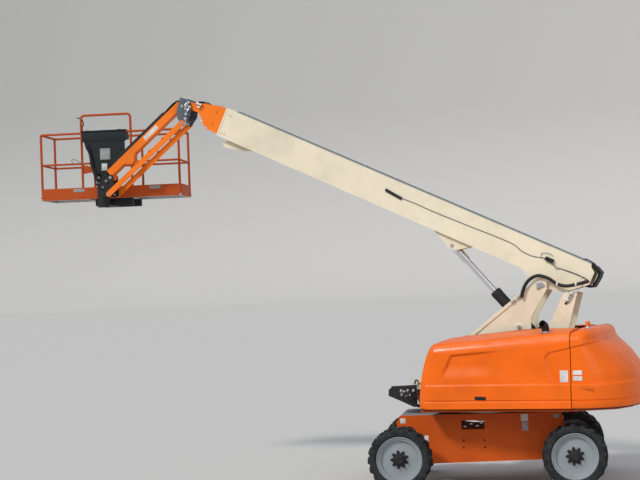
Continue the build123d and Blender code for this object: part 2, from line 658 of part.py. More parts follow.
# Platform, drawn along the turret about the rotator and then turned
PLATFORM = Pos(ROTATOR_X, 0, 0) * Rot(0, 0, PLATFORM_TURN)
PX0 = PLATFORM_X0
PX1 = PLATFORM_X0 + PLATFORM_LEN
PY0 = PLATFORM_Y0
PY1 = PLATFORM_Y0 + PLATFORM_DEEP
CARRIER_X0 = -210.0
CARRIER_X1 = 420.0
carrier = block(-60, 60, 0, PY1 - 120, BEAM_Z0 + 40, BEAM_Z1)
carrier += bar((0, 0, BEAM_Z0), (0, 0, BEAM_Z1), ROTATOR_R)
for y0 in (PY0 + 60, PY1 - 200):
    carrier += block(CARRIER_X0, CARRIER_X1, y0, y0 + 80, BEAM_Z0 + 40, BEAM_Z1)
save("platform_carrier", PLATFORM * carrier)
# The floor lies inside the toe boards, which reach down past its edge
TOE_T = 4.0
EDGE = TOE_T + FIT
floor = block(PX0 + EDGE, PX1 - EDGE, PY0 + EDGE, PY1 - EDGE, BEAM_Z1, FLOOR_Z)
floor -= block(PX0 + 40, PX1 - 40, PY0 + 40, PY1 - 40, BEAM_Z1 - 1, FLOOR_Z - 6)
for x in (-360, 0, 360):
    floor += block(x - 20, x + 20, PY0 + 20, PY1 - 20, BEAM_Z1, FLOOR_Z - 3)
save("platform_floor", PLATFORM * floor)
boards = [
    block(PX0, PX1, PY0, PY0 + TOE_T, BEAM_Z1, FLOOR_Z + TOE_H),
    block(PX0, PX1, PY1 - TOE_T, PY1, BEAM_Z1, FLOOR_Z + TOE_H),
    block(PX0, PX0 + TOE_T, PY0 + TOE_T, PY1 - TOE_T, BEAM_Z1, FLOOR_Z + TOE_H),
    block(PX1 - TOE_T, PX1, PY0 + TOE_T, PY1 - TOE_T, BEAM_Z1, FLOOR_Z + TOE_H),
]
save("toe_boards", PLATFORM * Compound(children=boards))

# Posts with their tops in columns of x, y and height above the floor
RAIL_IN = POST_R + TOE_T
POST_X0 = PX0 + RAIL_IN
POST_X1 = PX1 - RAIL_IN
POST_Y0 = PY0 + RAIL_IN
POST_Y1 = PY1 - RAIL_IN
CAP = RAIL_R + 3
POSTS = (
    (POST_X0, POST_Y0, RAIL_H),
    (HIGH_X0, POST_Y0, HIGH_RAIL_H),
    (HIGH_X1, POST_Y0, HIGH_RAIL_H),
    (POST_X1, POST_Y0, RAIL_H),
    (POST_X1, POST_Y1, RAIL_H),
    (HIGH_X1, POST_Y1, RAIL_H),
    (HIGH_X0, POST_Y1, RAIL_H),
    (POST_X0, POST_Y1, RAIL_H),
)
posts = [bar((x, y, FLOOR_Z), (x, y, FLOOR_Z + h + CAP), POST_R) for x, y, h in POSTS]
save("platform_posts", PLATFORM * Compound(children=posts))
# Rails run from post to post
rails = []
for i, (xa, ya, ha) in enumerate(POSTS):
    k = (i + 1) % len(POSTS)
    xb, yb, hb = POSTS[k]
    for h in (MID_RAIL_H, RAIL_H):
        rails.append(bar((xa, ya, FLOOR_Z + h), (xb, yb, FLOOR_Z + h), RAIL_R) - posts[i] - posts[k])
xa, ya, ha = POSTS[1]
xb, yb, hb = POSTS[2]
rails.append(bar((xa, ya, FLOOR_Z + ha), (xb, yb, FLOOR_Z + hb), RAIL_R) - posts[1] - posts[2])
save("platform_rails", PLATFORM * Compound(children=rails))
CONSOLE_Y = POST_Y0 + RAIL_R
CONSOLE_Z0 = FLOOR_Z + RAIL_H - 140
CONSOLE_Z1 = FLOOR_Z + RAIL_H + 40
console = block(HIGH_X0 + 30, HIGH_X1 - 60, CONSOLE_Y, CONSOLE_Y + 200, CONSOLE_Z0, CONSOLE_Z1)
save("console", PLATFORM * console)
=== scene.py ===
import bpy
import bmesh
import json
from math import sin, cos, tan, pi, radians
from mathutils import Matrix, Vector


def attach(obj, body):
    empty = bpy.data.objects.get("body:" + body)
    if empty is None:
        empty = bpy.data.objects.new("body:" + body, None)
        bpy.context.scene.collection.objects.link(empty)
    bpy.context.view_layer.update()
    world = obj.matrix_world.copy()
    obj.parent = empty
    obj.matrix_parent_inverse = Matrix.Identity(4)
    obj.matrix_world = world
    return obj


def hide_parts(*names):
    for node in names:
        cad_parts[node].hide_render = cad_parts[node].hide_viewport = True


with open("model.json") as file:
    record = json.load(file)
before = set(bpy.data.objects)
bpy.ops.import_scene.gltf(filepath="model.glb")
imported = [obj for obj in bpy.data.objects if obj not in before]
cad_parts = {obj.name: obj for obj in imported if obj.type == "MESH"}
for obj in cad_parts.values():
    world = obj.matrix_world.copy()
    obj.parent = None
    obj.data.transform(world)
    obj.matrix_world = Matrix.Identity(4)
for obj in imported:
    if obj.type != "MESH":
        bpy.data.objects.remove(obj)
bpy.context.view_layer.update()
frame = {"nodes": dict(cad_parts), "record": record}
NODES = frame["nodes"]


# Materials, each with its own small-scale detail
def shader(name, rough, metal=0.0, coat=0.0, spec=0.5):
    mat = bpy.data.materials.new(name)
    mat.use_nodes = True
    tree = mat.node_tree
    bsdf = tree.nodes["Principled BSDF"]
    for socket, value in (("Metallic", metal), ("Roughness", rough), ("Coat Weight", coat),
                          ("Coat Roughness", 0.12), ("Specular IOR Level", spec)):
        bsdf.inputs[socket].default_value = value
    return mat, tree, bsdf


def noise(tree, scale, detail=4.0, rough=0.55, stretch=(1, 1, 1)):
    coord = tree.nodes.new("ShaderNodeTexCoord")
    mapping = tree.nodes.new("ShaderNodeMapping")
    mapping.inputs["Scale"].default_value = stretch
    tex = tree.nodes.new("ShaderNodeTexNoise")
    for socket, value in (("Scale", scale), ("Detail", detail), ("Roughness", rough)):
        tex.inputs[socket].default_value = value
    tree.links.new(coord.outputs["Object"], mapping.inputs["Vector"])
    tree.links.new(mapping.outputs["Vector"], tex.inputs["Vector"])
    return tex


def ramp(tree, source, stops):
    node = tree.nodes.new("ShaderNodeValToRGB")
    elements = node.color_ramp.elements
    while len(elements) < len(stops):
        elements.new(0.5)
    for element, (place, colour) in zip(elements, stops):
        element.position = place
        element.color = (*colour, 1.0)
    tree.links.new(source.outputs["Fac"], node.inputs["Fac"])
    return node.outputs["Color"]


def mix(tree, factor, a, b):
    node = tree.nodes.new("ShaderNodeMix")
    node.data_type = "RGBA"
    tree.links.new(factor, node.inputs["Factor"])
    for socket, value in (("A", a), ("B", b)):
        target = [s for s in node.inputs if s.name == socket and s.type == "RGBA"][0]
        if isinstance(value, tuple):
            target.default_value = (*value, 1.0)
        else:
            tree.links.new(value, target)
    return [s for s in node.outputs if s.type == "RGBA"][0]


def bump(tree, bsdf, source, strength, distance):
    node = tree.nodes.new("ShaderNodeBump")
    node.inputs["Strength"].default_value = strength
    node.inputs["Distance"].default_value = distance
    tree.links.new(source.outputs["Fac"], node.inputs["Height"])
    tree.links.new(node.outputs["Normal"], bsdf.inputs["Normal"])


def shade(colour, factor):
    return tuple(c * factor for c in colour)


def paint(name, colour, rough=0.32, coat=0.35, dust=0.25, dust_colour=(0.32, 0.27, 0.21), spec=0.3):
    mat, tree, bsdf = shader(name, rough, coat=coat, spec=spec)
    broad = noise(tree, 1.6, 5.0)
    dark = shade(colour, 0.86)
    light = tuple(min(1.0, c * 1.07) for c in colour)
    base = ramp(tree, broad, ((0.30, dark), (0.52, colour), (0.75, light)))
    grime = noise(tree, 5.5, 9.0, 0.68)
    film = ramp(tree, grime, ((0.52, (0, 0, 0)), (0.80, (dust, dust, dust))))
    colour_out = mix(tree, film, base, dust_colour)
    tree.links.new(colour_out, bsdf.inputs["Base Color"])
    gloss = ramp(tree, grime, ((0.35, (rough,) * 3), (0.75, (min(1.0, rough + 0.28),) * 3)))
    tree.links.new(gloss, bsdf.inputs["Roughness"])
    bump(tree, bsdf, noise(tree, 260.0, 2.0), 0.10, 0.002)
    return mat


def rubber(name, colour=(0.011, 0.012, 0.013)):
    mat, tree, bsdf = shader(name, 0.82, spec=0.3)
    grime = noise(tree, 7.0, 8.0, 0.7)
    dusty = tuple(c * 3.0 + 0.008 for c in colour)
    base = ramp(tree, grime, ((0.40, colour), (0.72, dusty)))
    tree.links.new(base, bsdf.inputs["Base Color"])
    bump(tree, bsdf, noise(tree, 180.0, 3.0), 0.35, 0.003)
    return mat


def steel(name, colour, rough=0.35, scratch=90.0):
    mat, tree, bsdf = shader(name, rough, metal=1.0)
    streak = noise(tree, scratch, 3.0, 0.6, (1, 1, 12))
    base = ramp(tree, streak, ((0.3, shade(colour, 0.8)), (0.7, colour)))
    tree.links.new(base, bsdf.inputs["Base Color"])
    worn = ramp(tree, streak, ((0.3, (rough * 0.8,) * 3), (0.7, (min(1, rough * 1.3),) * 3)))
    tree.links.new(worn, bsdf.inputs["Roughness"])
    bump(tree, bsdf, streak, 0.08, 0.001)
    return mat


def plastic(name, colour, rough=0.55):
    mat, tree, bsdf = shader(name, rough, spec=0.4)
    grain = noise(tree, 9.0, 6.0)
    base = ramp(tree, grain, ((0.35, shade(colour, 0.8)), (0.7, shade(colour, 1.2))))
    tree.links.new(base, bsdf.inputs["Base Color"])
    bump(tree, bsdf, noise(tree, 320.0, 2.0), 0.2, 0.002)
    return mat


MATS = {
    "boom_cream": paint("cream_paint", (0.77, 0.69, 0.525), 0.42, 0.10, 0.20),
    "hood_orange": paint("hood_paint", (0.83, 0.132, 0.002), 0.34, 0.16, 0.07, (0.60, 0.16, 0.03), 0.2),
    # chassis_orange is the orange paint darkened with painted shade, a shaded copy of the same paint
    "chassis_orange": paint("chassis_paint_shaded", (0.56, 0.085, 0.004), 0.5, 0.05, 0.30, (0.30, 0.10, 0.03), 0.2),
    "weight_orange": paint("weight_paint", (0.76, 0.12, 0.004), 0.42, 0.1, 0.10, (0.45, 0.13, 0.03), 0.2),
    "jib_orange": paint("jib_paint", (0.88, 0.19, 0.012), 0.40, 0.10, 0.10, (0.55, 0.17, 0.04), 0.2),
    "platform_orange": paint("platform_paint", (0.46, 0.075, 0.012), 0.5, 0.0, 0.30,
                             (0.22, 0.08, 0.04), 0.2),
    "black_metal": paint("black_paint", (0.016, 0.016, 0.018), 0.5, 0.0, 0.25, (0.06, 0.055, 0.05)),
    "knuckle_grey": paint("slate_paint", (0.075, 0.105, 0.135), 0.45, 0.1),
    "rim_grey": paint("rim_paint", (0.255, 0.285, 0.305), 0.5, 0.0, 0.40, (0.17, 0.16, 0.15)),
    "floor_alu": steel("floor_alloy", (0.58, 0.58, 0.57), 0.5, 30.0),
    "tyre_black": rubber("tyre_rubber"),
    "steel": steel("bare_steel", (0.55, 0.55, 0.56), 0.38),
    "chrome_rod": steel("chromed_rod", (0.86, 0.86, 0.88), 0.26),
    "dark_plastic": plastic("dark_moulding", (0.005, 0.010, 0.012), 0.6),
    "amber": plastic("amber_lens", (0.72, 0.13, 0.01), 0.22),
    "placard": plastic("blank_placard", (0.62, 0.61, 0.58), 0.5),
    "placard_grey": plastic("worn_placard", (0.30, 0.31, 0.31), 0.55),
    "engine_alloy": steel("engine_casting", (0.30, 0.30, 0.31), 0.6),
}
for part in frame["record"]["subparts"]:
    obj = NODES[part["node"]]
    for item in obj.material_slots:
        item.material = MATS[part["material_slot"]]


# Places that the turned and raised groups of pieces are drawn in
CHASSIS_TURN = radians(11.3)
BOOM_ANGLE = radians(25.35)
JIB_ANGLE = radians(38.3)
PLATFORM_TURN = radians(13.5)
PIVOT = Vector((0.901, 0.0, 2.882))
JIB_PIN = Vector((-4.785, 0.0, 5.920))
LINK_DROP = 0.270
JIB_LEN = 1.720
ROTATOR_X = -6.320
HERE = Matrix.Identity(4)
ON_CHASSIS = Matrix.Rotation(CHASSIS_TURN, 4, "Z")
ON_BOOM = Matrix.Translation(PIVOT) @ Matrix.Rotation(BOOM_ANGLE, 4, "Y")
ON_ARM = Matrix.Translation(JIB_PIN) @ Matrix.Rotation(-JIB_ANGLE, 4, "Y")
ON_LINK = Matrix.Translation(JIB_PIN - Vector((0, 0, LINK_DROP))) @ Matrix.Rotation(-JIB_ANGLE, 4, "Y")
ON_PLATFORM = Matrix.Translation((ROTATOR_X, 0, 0)) @ Matrix.Rotation(PLATFORM_TURN, 4, "Z")
FLOOR_Z = 4.582
ON_FLOOR = ON_PLATFORM @ Matrix.Translation((0, 0, FLOOR_Z))

SIDES = (("near", -1), ("far", 1))


# Mesh helpers
def smooth(mesh, angle=40.0):
    for face in mesh.polygons:
        face.use_smooth = True
    mesh.set_sharp_from_angle(angle=radians(angle))


def soften(obj, width, steps=2, angle=35.0):
    mod = obj.modifiers.new("soft_edge", "BEVEL")
    mod.width = width
    mod.segments = steps
    mod.limit_method = "ANGLE"
    mod.angle_limit = radians(angle)
    mod.harden_normals = False


def skin(obj, thickness):
    solid = obj.modifiers.new("skin", "SOLIDIFY")
    solid.thickness = thickness
    solid.offset = -1.0


# The mesh that a piece is drawn into
def new():
    return bmesh.new()


def added(name, data):
    obj = bpy.data.objects.new(name, data)
    bpy.context.scene.collection.objects.link(obj)
    return obj


# Lets an object ride its body and hides the nodes that it stands in for
def carried(obj, body, slot, hides):
    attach(obj, body)
    if hides:
        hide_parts(*hides)
    return obj


def piece(name, bm, body, slot, place=HERE, hides=(), edge=0.0, steps=2, angle=40.0):
    bmesh.ops.recalc_face_normals(bm, faces=bm.faces)
    mesh = bpy.data.meshes.new(name)
    bm.to_mesh(mesh)
    bm.free()
    mesh.transform(place)
    smooth(mesh, angle)
    mesh.materials.append(MATS[slot])
    obj = added(name, mesh)
    if edge:
        soften(obj, edge, steps)
    return carried(obj, body, slot, hides)


# The short curve that takes a corner from its start to its end
def turn_of(start, corner, end, steps):
    shares = [k / steps for k in range(steps + 1)]
    return [start * (1 - t) ** 2 + corner * 2 * t * (1 - t) + end * t ** 2 for t in shares]


# An outline with each corner taken round by a curve of about the given radius
def rounded(points, radius, steps=4):
    out = []
    n = len(points)
    for i, here in enumerate(points):
        p = Vector(here)
        a = Vector(points[i - 1]) - p
        b = Vector(points[(i + 1) % n]) - p
        reach = min(radius / tan(a.angle(b) / 2), a.length * 0.49, b.length * 0.49)
        start = p + a.normalized() * reach
        end = p + b.normalized() * reach
        out += [tuple(q) for q in turn_of(start, p, end, steps)]
    return out


# Faces between two rings of as many points
def bridge(bm, one, two, closed=True):
    for i in range(len(one) if closed else len(one) - 1):
        k = (i + 1) % len(one)
        bm.faces.new((one[i], one[k], two[k], two[i]))


# A solid between two planes, with its outline in the other two axes
def slab(bm, outline, low, high, axis="Y"):
    rings = []
    for level in (low, high):
        ring = []
        for u, v in outline:
            co = {"X": (level, u, v), "Y": (u, level, v), "Z": (u, v, level)}[axis]
            ring.append(bm.verts.new(co))
        rings.append(ring)
    bm.faces.new(rings[0])
    bm.faces.new(reversed(rings[1]))
    bridge(bm, *rings)
    return bm


# The same with its corners rounded
def plate(bm, points, radius, low, high, axis="Y"):
    return slab(bm, rounded(points, radius), low, high, axis)


def brick(bm, x0, x1, y0, y1, z0, z1):
    return slab(bm, ((x0, z0), (x1, z0), (x1, z1), (x0, z1)), y0, y1)


# A turned shape about an axis, from rows of radius and place along the axis
def turned(bm, rows, centre=(0, 0, 0), axis="Y", steps=48, turn=0.0):
    frame_of = {"X": (Vector((0, 1, 0)), Vector((0, 0, 1)), Vector((1, 0, 0))),
                "Y": (Vector((0, 0, 1)), Vector((1, 0, 0)), Vector((0, 1, 0))),
                "Z": (Vector((1, 0, 0)), Vector((0, 1, 0)), Vector((0, 0, 1)))}[axis]
    p, q, w = frame_of
    centre = Vector(centre)
    rings = []
    for r, h in rows:
        if r < 1e-6:
            rings.append([bm.verts.new(centre + w * h)])
            continue
        ring = []
        for i in range(steps):
            a = turn + 2 * pi * i / steps
            ring.append(bm.verts.new(centre + w * h + p * (r * cos(a)) + q * (r * sin(a))))
        rings.append(ring)
    for one, two in zip(rings, rings[1:]):
        if len(one) == len(two):
            if len(one) > 1:
                bridge(bm, one, two)
            continue
        for i in range(steps):
            k = (i + 1) % steps
            if len(one) == 1:
                bm.faces.new((one[0], two[k], two[i]))
            else:
                bm.faces.new((one[i], one[k], two[0]))
    if len(rings[0]) > 2 and len(rings[-1]) > 2:
        bridge(bm, rings[-1], rings[0])
    return bm


def rod(bm, r, low, high, centre, axis, steps):
    return turned(bm, ((0, low), (r, low), (r, high), (0, high)), centre, axis, steps)


# A disc that narrows at its outer face
def cap(bm, wide, narrow, levels, centre, axis, steps):
    a, b, c = levels
    return turned(bm, ((0, a), (wide, a), (wide, b), (narrow, c), (0, c)), centre, axis, steps)


# A pipe fitting: a wide foot that steps down to a neck
def union(bm, wide, narrow, levels, centre, axis, steps):
    a, b, c, d = levels
    return turned(bm, ((0, a), (wide, a), (wide, b), (narrow, c), (narrow, d), (0, d)), centre, axis, steps)


# A hexagon head with its washer
def bolt(bm, centre, axis, r, out):
    rod(bm, r * 1.5, 0, out * 0.25, centre, axis, 16)
    cap(bm, r, r * 0.85, (out * 0.2, out * 0.9, out), centre, axis, 6)


# Points of a smooth curve through the given ones
def curve_points(points, steps=6):
    pts = [Vector(p) for p in points]
    out = []
    for i in range(len(pts) - 1):
        a = pts[max(i - 1, 0)]
        b = pts[i]
        c = pts[i + 1]
        d = pts[min(i + 2, len(pts) - 1)]
        for k in range(steps):
            t = k / steps
            square = 2 * a - 5 * b + 4 * c - d
            cube = 3 * b - a - 3 * c + d
            out.append(0.5 * (2 * b + (c - a) * t + square * t ** 2 + cube * t ** 3))
    out.append(pts[-1])
    return out


# A hose, pipe or rail along one run of points or several, smoothed unless its bends are drawn
def line(name, points, r, body, slot, place=HERE, bends=True, closed=False, sides=3, hides=()):
    data = bpy.data.curves.new(name, "CURVE")
    data.dimensions = "3D"
    data.bevel_depth = r
    data.bevel_resolution = sides
    data.use_fill_caps = True
    for run in (points if isinstance(points[0][0], (tuple, list, Vector)) else [points]):
        route = curve_points(run) if bends else [Vector(p) for p in run]
        spline = data.splines.new("POLY")
        spline.points.add(len(route) - 1)
        for point, co in zip(spline.points, route):
            point.co = (*(place @ co), 1.0)
        spline.use_cyclic_u = closed
        spline.use_smooth = True
    data.materials.append(MATS[slot])
    return carried(added(name, data), body, slot, hides)


# Wheels
WHEEL_X = 1.240
WHEEL_Y = 1.0675
HUB_Z = 0.460
TYRE_R = 0.460
TREAD_R = 0.434
RIM_R = 0.324
LUGS = 20
CARCASS = ((RIM_R, 0.140), (0.334, 0.158), (0.346, 0.164), (0.352, 0.171), (0.362, 0.1755), (0.368, 0.1725),
           (0.385, 0.1760), (0.404, 0.1730), (0.420, 0.1640), (0.430, 0.1500), (TREAD_R, 0.120),
           (TREAD_R, 0.0))
LUG = ((0.004, TREAD_R - 0.02), (0.004, TYRE_R - 0.003), (0.02, TYRE_R), (0.135, TYRE_R - 0.002),
       (0.158, TYRE_R - 0.012), (0.172, 0.428), (0.1765, 0.400), (0.172, 0.388), (0.160, 0.392),
       (0.150, TREAD_R - 0.02))


def tyre(name, wheel, x, side):
    bm = new()
    rows = [(r, -y) for r, y in CARCASS] + [(r, y) for r, y in reversed(CARCASS[:-1])]
    turned(bm, rows, steps=80)
    for flank in (-1, 1):
        for i in range(LUGS):
            turn = 2 * pi * (i + (0.5 if flank > 0 else 0.0)) / LUGS
            spin = Matrix.Rotation(turn, 4, "Y")
            rings = []
            for across in (-1, 1):
                ring = []
                for y, r in LUG:
                    wide = 0.034 - 0.008 * (r - 0.38) / 0.08
                    sweep = 0.018 - y * 0.24
                    ring.append(bm.verts.new(spin @ Vector((across * wide + sweep, flank * y, r))))
                rings.append(ring)
            bm.faces.new(rings[0])
            bm.faces.new(rings[1])
            bridge(bm, *rings)
    place = ON_CHASSIS @ Matrix.Translation((x, side * WHEEL_Y, HUB_Z))
    piece(name, bm, wheel, "tyre_black", place, (name[:-6] + "_tyre",), 0.004)


FACE = ((RIM_R - 0.004, 0.1540), (RIM_R - 0.012, 0.1500), (RIM_R - 0.018, 0.136), (RIM_R - 0.028, 0.128),
        (RIM_R - 0.044, 0.126), (RIM_R - 0.050, 0.120), (RIM_R - 0.054, 0.098), (RIM_R - 0.064, 0.088),
        (RIM_R - 0.084, 0.084), (0.150, 0.090), (0.124, 0.098), (0.0, 0.098))
NUTS = 9
NUT_RING = 0.112


def rim(name, wheel, x, side):
    place = ON_CHASSIS @ Matrix.Translation((x, side * WHEEL_Y, HUB_Z))
    if side < 0:
        place = place @ Matrix.Rotation(pi, 4, "Z")
    bm = new()
    turned(bm, ((RIM_R - 0.001, -0.150), (RIM_R - 0.012, -0.152), (RIM_R - 0.026, -0.10),
                (RIM_R - 0.040, 0.060), (0.0, 0.060)), steps=80)
    turned(bm, ((0.0, 0.086), *reversed(FACE[:-1]), (RIM_R + 0.006, 0.1535), (RIM_R - 0.001, 0.158),
           (RIM_R - 0.001, -0.150), (RIM_R - 0.012, -0.152)), steps=80)
    piece(name, bm, wheel, "rim_grey", place, (name[:-5] + "_rim",), angle=30)
    bm = new()
    turned(bm, ((0, 0.086), (0.098, 0.086), (0.098, 0.112), (0.090, 0.118), (0.068, 0.120), (0.062, 0.142),
                (0.053, 0.150), (0.030, 0.152), (0.026, 0.146), (0, 0.146)), steps=48)
    for i in range(NUTS):
        a = 2 * pi * i / NUTS
        bolt(bm, (NUT_RING * cos(a), 0.094, NUT_RING * sin(a)), "Y", 0.0145, 0.038)
    piece(name + "_hub", bm, wheel, "black_metal", place, edge=0.0025, steps=1)


for end, x in (("drive", -WHEEL_X), ("steer", WHEEL_X)):
    for side_name, side in SIDES:
        wheel = f"wheel_{end}_{side_name}"
        tyre(f"{end}_{side_name}_tread", wheel, x, side)
        rim(f"{end}_{side_name}_disc", wheel, x, side)

# Hoods: a shell rounded along its outer edge, whose side is sliced finely and then pressed
HOOD_Y = 1.200
HOOD_IN_Y = 0.400
HOOD_Z0 = 1.154
DOOR_X1 = 1.474
HOOD_FRONT = -0.743
CREASE_Z = 1.483
GROOVE_Z = 1.262
ROOF_FLAT = 2.245
ROOF_MID = 2.100
ROOF_RISE = 0.068
ROOF_CROWN = 0.123
EDGE_R = 0.135
SLICE_X = 0.0135
SLICE_Z = 0.0080
HOOD_SKIN = 0.010
TAIL_SKIN = 0.012
HOOD_LINE = ((-0.743, 1.294), (-0.724, 1.466), (-0.694, 1.653), (-0.641, 1.853), (-0.589, 1.981),
             (-0.529, 2.066), (-0.424, 2.130), (-0.240, 2.158), (0.063, 2.185), (0.500, 2.224),
             (0.900, 2.260), (DOOR_X1, 2.310))


def roof_z(x, y):
    return min(ROOF_MID + ROOF_RISE * x + ROOF_CROWN * (HOOD_Y - abs(y)), ROOF_FLAT)


def fade(value, low, high):
    t = max(0.0, min(1.0, (value - low) / (high - low)))
    return t * t * (3 - 2 * t)


# How far the side wall stands in from its plane at a place along it: it leans in above a crease, and a
# groove, a tapered panel at the front and a panel behind it are pressed in
def pressed(x, z):
    depth = 0.042 * max(0.0, z - CREASE_Z - 0.02) / 0.62
    depth += 0.012 * fade(z, CREASE_Z - 0.006, CREASE_Z + 0.026)
    groove = fade(z, GROOVE_Z - 0.007, GROOVE_Z - 0.002) * (1 - fade(z, GROOVE_Z + 0.010, GROOVE_Z + 0.016))
    for step_x in (0.79, 1.11):
        groove *= 1 - fade(x, step_x - 0.012, step_x - 0.006) * (1 - fade(x, step_x + 0.006, step_x + 0.012))
    depth += 0.013 * groove
    front = -0.381 + (z - 1.627) * 0.44
    top = 1.933 + (x + 0.243) * 0.0685
    arrow = fade(x, front, front + 0.026) * (1 - fade(z, top - 0.026, top))
    arrow *= 1 - fade(x, 0.05, 0.62)
    arrow *= fade(z, 1.57, 1.78)
    depth += 0.036 * arrow
    edge = 1.940 + (x - 1.157) * 0.205
    left = 1.114 + max(0.0, 1.84 - z) * 0.23 + 0.055 * fade(z, 1.86, 1.95)
    panel = fade(x, left, left + 0.020) * (1 - fade(z, edge - 0.020, edge)) * fade(z, 1.494, 1.506)
    return depth * fade(x, HOOD_FRONT + 0.03, HOOD_FRONT + 0.20) + 0.022 * panel


# Slices the side wall, the faces that look along y, at even steps
def sliced(bm, axis, low, high, step):
    count = int(round((high - low) / step))
    for i in range(count + 1):
        co = Vector((0, 0, 0))
        no = Vector((0, 0, 0))
        co[axis] = low + (high - low) * i / count
        no[axis] = 1.0
        geom = [f for f in bm.faces if f.normal.y > 0.98]
        edges = {e for f in geom for e in f.edges}
        verts = {v for f in geom for v in f.verts}
        bmesh.ops.bisect_plane(bm, geom=list(verts) + list(edges) + geom, plane_co=co, plane_no=no)


# The hood's outline at a distance from the middle, drawn in by an inset
def hood_ring(y, inset):
    line_points = curve_points([(HOOD_FRONT, 0, HOOD_Z0 + 0.05)] + [(x, 0, z) for x, z in HOOD_LINE], 4)
    foot = [Vector((HOOD_FRONT + 0.012, 0, HOOD_Z0)), Vector((HOOD_FRONT + 0.002, 0, HOOD_Z0 + 0.02))]
    capped = [Vector((p.x, 0, min(p.z, roof_z(p.x, y)))) for p in foot + line_points]
    ring = []
    for i, p in enumerate(capped):
        a = capped[max(i - 1, 0)]
        b = capped[min(i + 1, len(capped) - 1)]
        along = (b - a).normalized()
        normal = Vector((along.z, 0, -along.x))
        if i == 0 or i == len(capped) - 1:
            normal = Vector((1, 0, 0)) if i == 0 else Vector((0, 0, -1))
        ring.append(Vector((p.x, y, p.z)) + normal * inset)
    # Drawn in past the bend at the front, the ring is evened out
    for _ in range(int(inset / 0.011)):
        kept = [q.copy() for q in ring]
        for i in range(1, len(ring) - 1):
            ring[i] = (kept[i - 1] + kept[i] * 2 + kept[i + 1]) / 4
    return ring


# Turns an open shell's faces outwards, away from a point inside it
def face_out(obj, inside):
    centre = Vector(inside)
    lean = sum((Vector(f.center) - centre).normalized().dot(f.normal) * f.area for f in obj.data.polygons)
    if lean < 0:
        obj.data.flip_normals()


def hood(name, side, body, node):
    levels = [(HOOD_IN_Y, 0.0), (0.6, 0.0), (0.8, 0.0), (1.0, 0.0)]
    for k in range(9):
        a = radians(90) * k / 8
        levels.append((HOOD_Y - EDGE_R + EDGE_R * sin(a), EDGE_R * (1 - cos(a))))
    bm = new()
    rings = [[bm.verts.new(p) for p in hood_ring(y, inset)] for y, inset in levels]
    for one, two in zip(rings, rings[1:]):
        bridge(bm, one, two, False)
    outer = rings[-1]
    low_rear = bm.verts.new((DOOR_X1, HOOD_Y, HOOD_Z0))
    bm.faces.new(outer + [low_rear])
    rear_ring = [ring[-1] for ring in rings]
    low_in = bm.verts.new((DOOR_X1, HOOD_IN_Y, HOOD_Z0))
    bm.faces.new(rear_ring + [low_rear, low_in])
    bmesh.ops.recalc_face_normals(bm, faces=bm.faces)
    up = sum(f.normal.z * f.calc_area() for f in bm.faces)
    if up < 0:
        bmesh.ops.reverse_faces(bm, faces=bm.faces)
    bm.normal_update()
    sliced(bm, 0, HOOD_FRONT + 0.10, DOOR_X1 - 0.006, SLICE_X)
    sliced(bm, 2, HOOD_Z0 + 0.008, 2.12, SLICE_Z)
    for v in bm.verts:
        if v.co.y > HOOD_Y - EDGE_R:
            v.co.y -= pressed(v.co.x, v.co.z) * fade(v.co.y, HOOD_Y - EDGE_R, HOOD_Y - 0.004)
    for v in bm.verts:
        v.co.y *= side
    obj = piece(name, bm, body, "hood_orange", hides=(node,), angle=50)
    face_out(obj, (0.4, side * 0.7, 1.6))
    skin(obj, HOOD_SKIN)
    return obj


hood("near_hood_shell", -1, "hood_door_near", "hood_near")
hood("far_hood_shell", 1, "hood_door_far", "hood_far")

# Tail: its plan is a smooth curve, its roof and rear follow one side line
TAIL_X0 = 1.486
TAIL_BEND_X = 1.60
TAIL_PLAN = ((1.660, 1.195), (1.830, 1.150), (1.990, 1.055), (2.130, 0.910), (2.240, 0.700), (2.320, 0.400),
             (2.350, 0.0))
TAIL_LINE = ((TAIL_X0, ROOF_FLAT), (1.790, ROOF_FLAT), (1.862, 2.215), (1.905, 2.150), (2.020, 2.060),
             (2.150, 1.945), (2.260, 1.790), (2.325, 1.680), (2.350, 1.560))


# The highest that the tail reaches at a place, and the furthest back that it reaches at a height
def tail_top(x):
    for (xa, za), (xb, zb) in zip(TAIL_LINE, TAIL_LINE[1:]):
        if x <= xb:
            return za + (zb - za) * (x - xa) / (xb - xa)
    return TAIL_LINE[-1][1]


def tail_back(z):
    if z <= TAIL_LINE[-1][1]:
        return TAIL_LINE[-1][0]
    for (xa, za), (xb, zb) in zip(TAIL_LINE[1:], TAIL_LINE[2:]):
        if z >= zb:
            return xa + (xb - xa) * (za - z) / (za - zb)
    return TAIL_LINE[1][0]


def tail_curve():
    route = ((TAIL_X0, HOOD_Y), (1.57, HOOD_Y), *TAIL_PLAN, (2.32, -0.4))
    half = curve_points([(x, y, 0) for x, y in route], 5)
    half = [p for p in half if p.y > 0.001] + [Vector((TAIL_PLAN[-1][0], 0, 0))]
    return half + [Vector((p.x, -p.y, 0)) for p in reversed(half[:-1])]


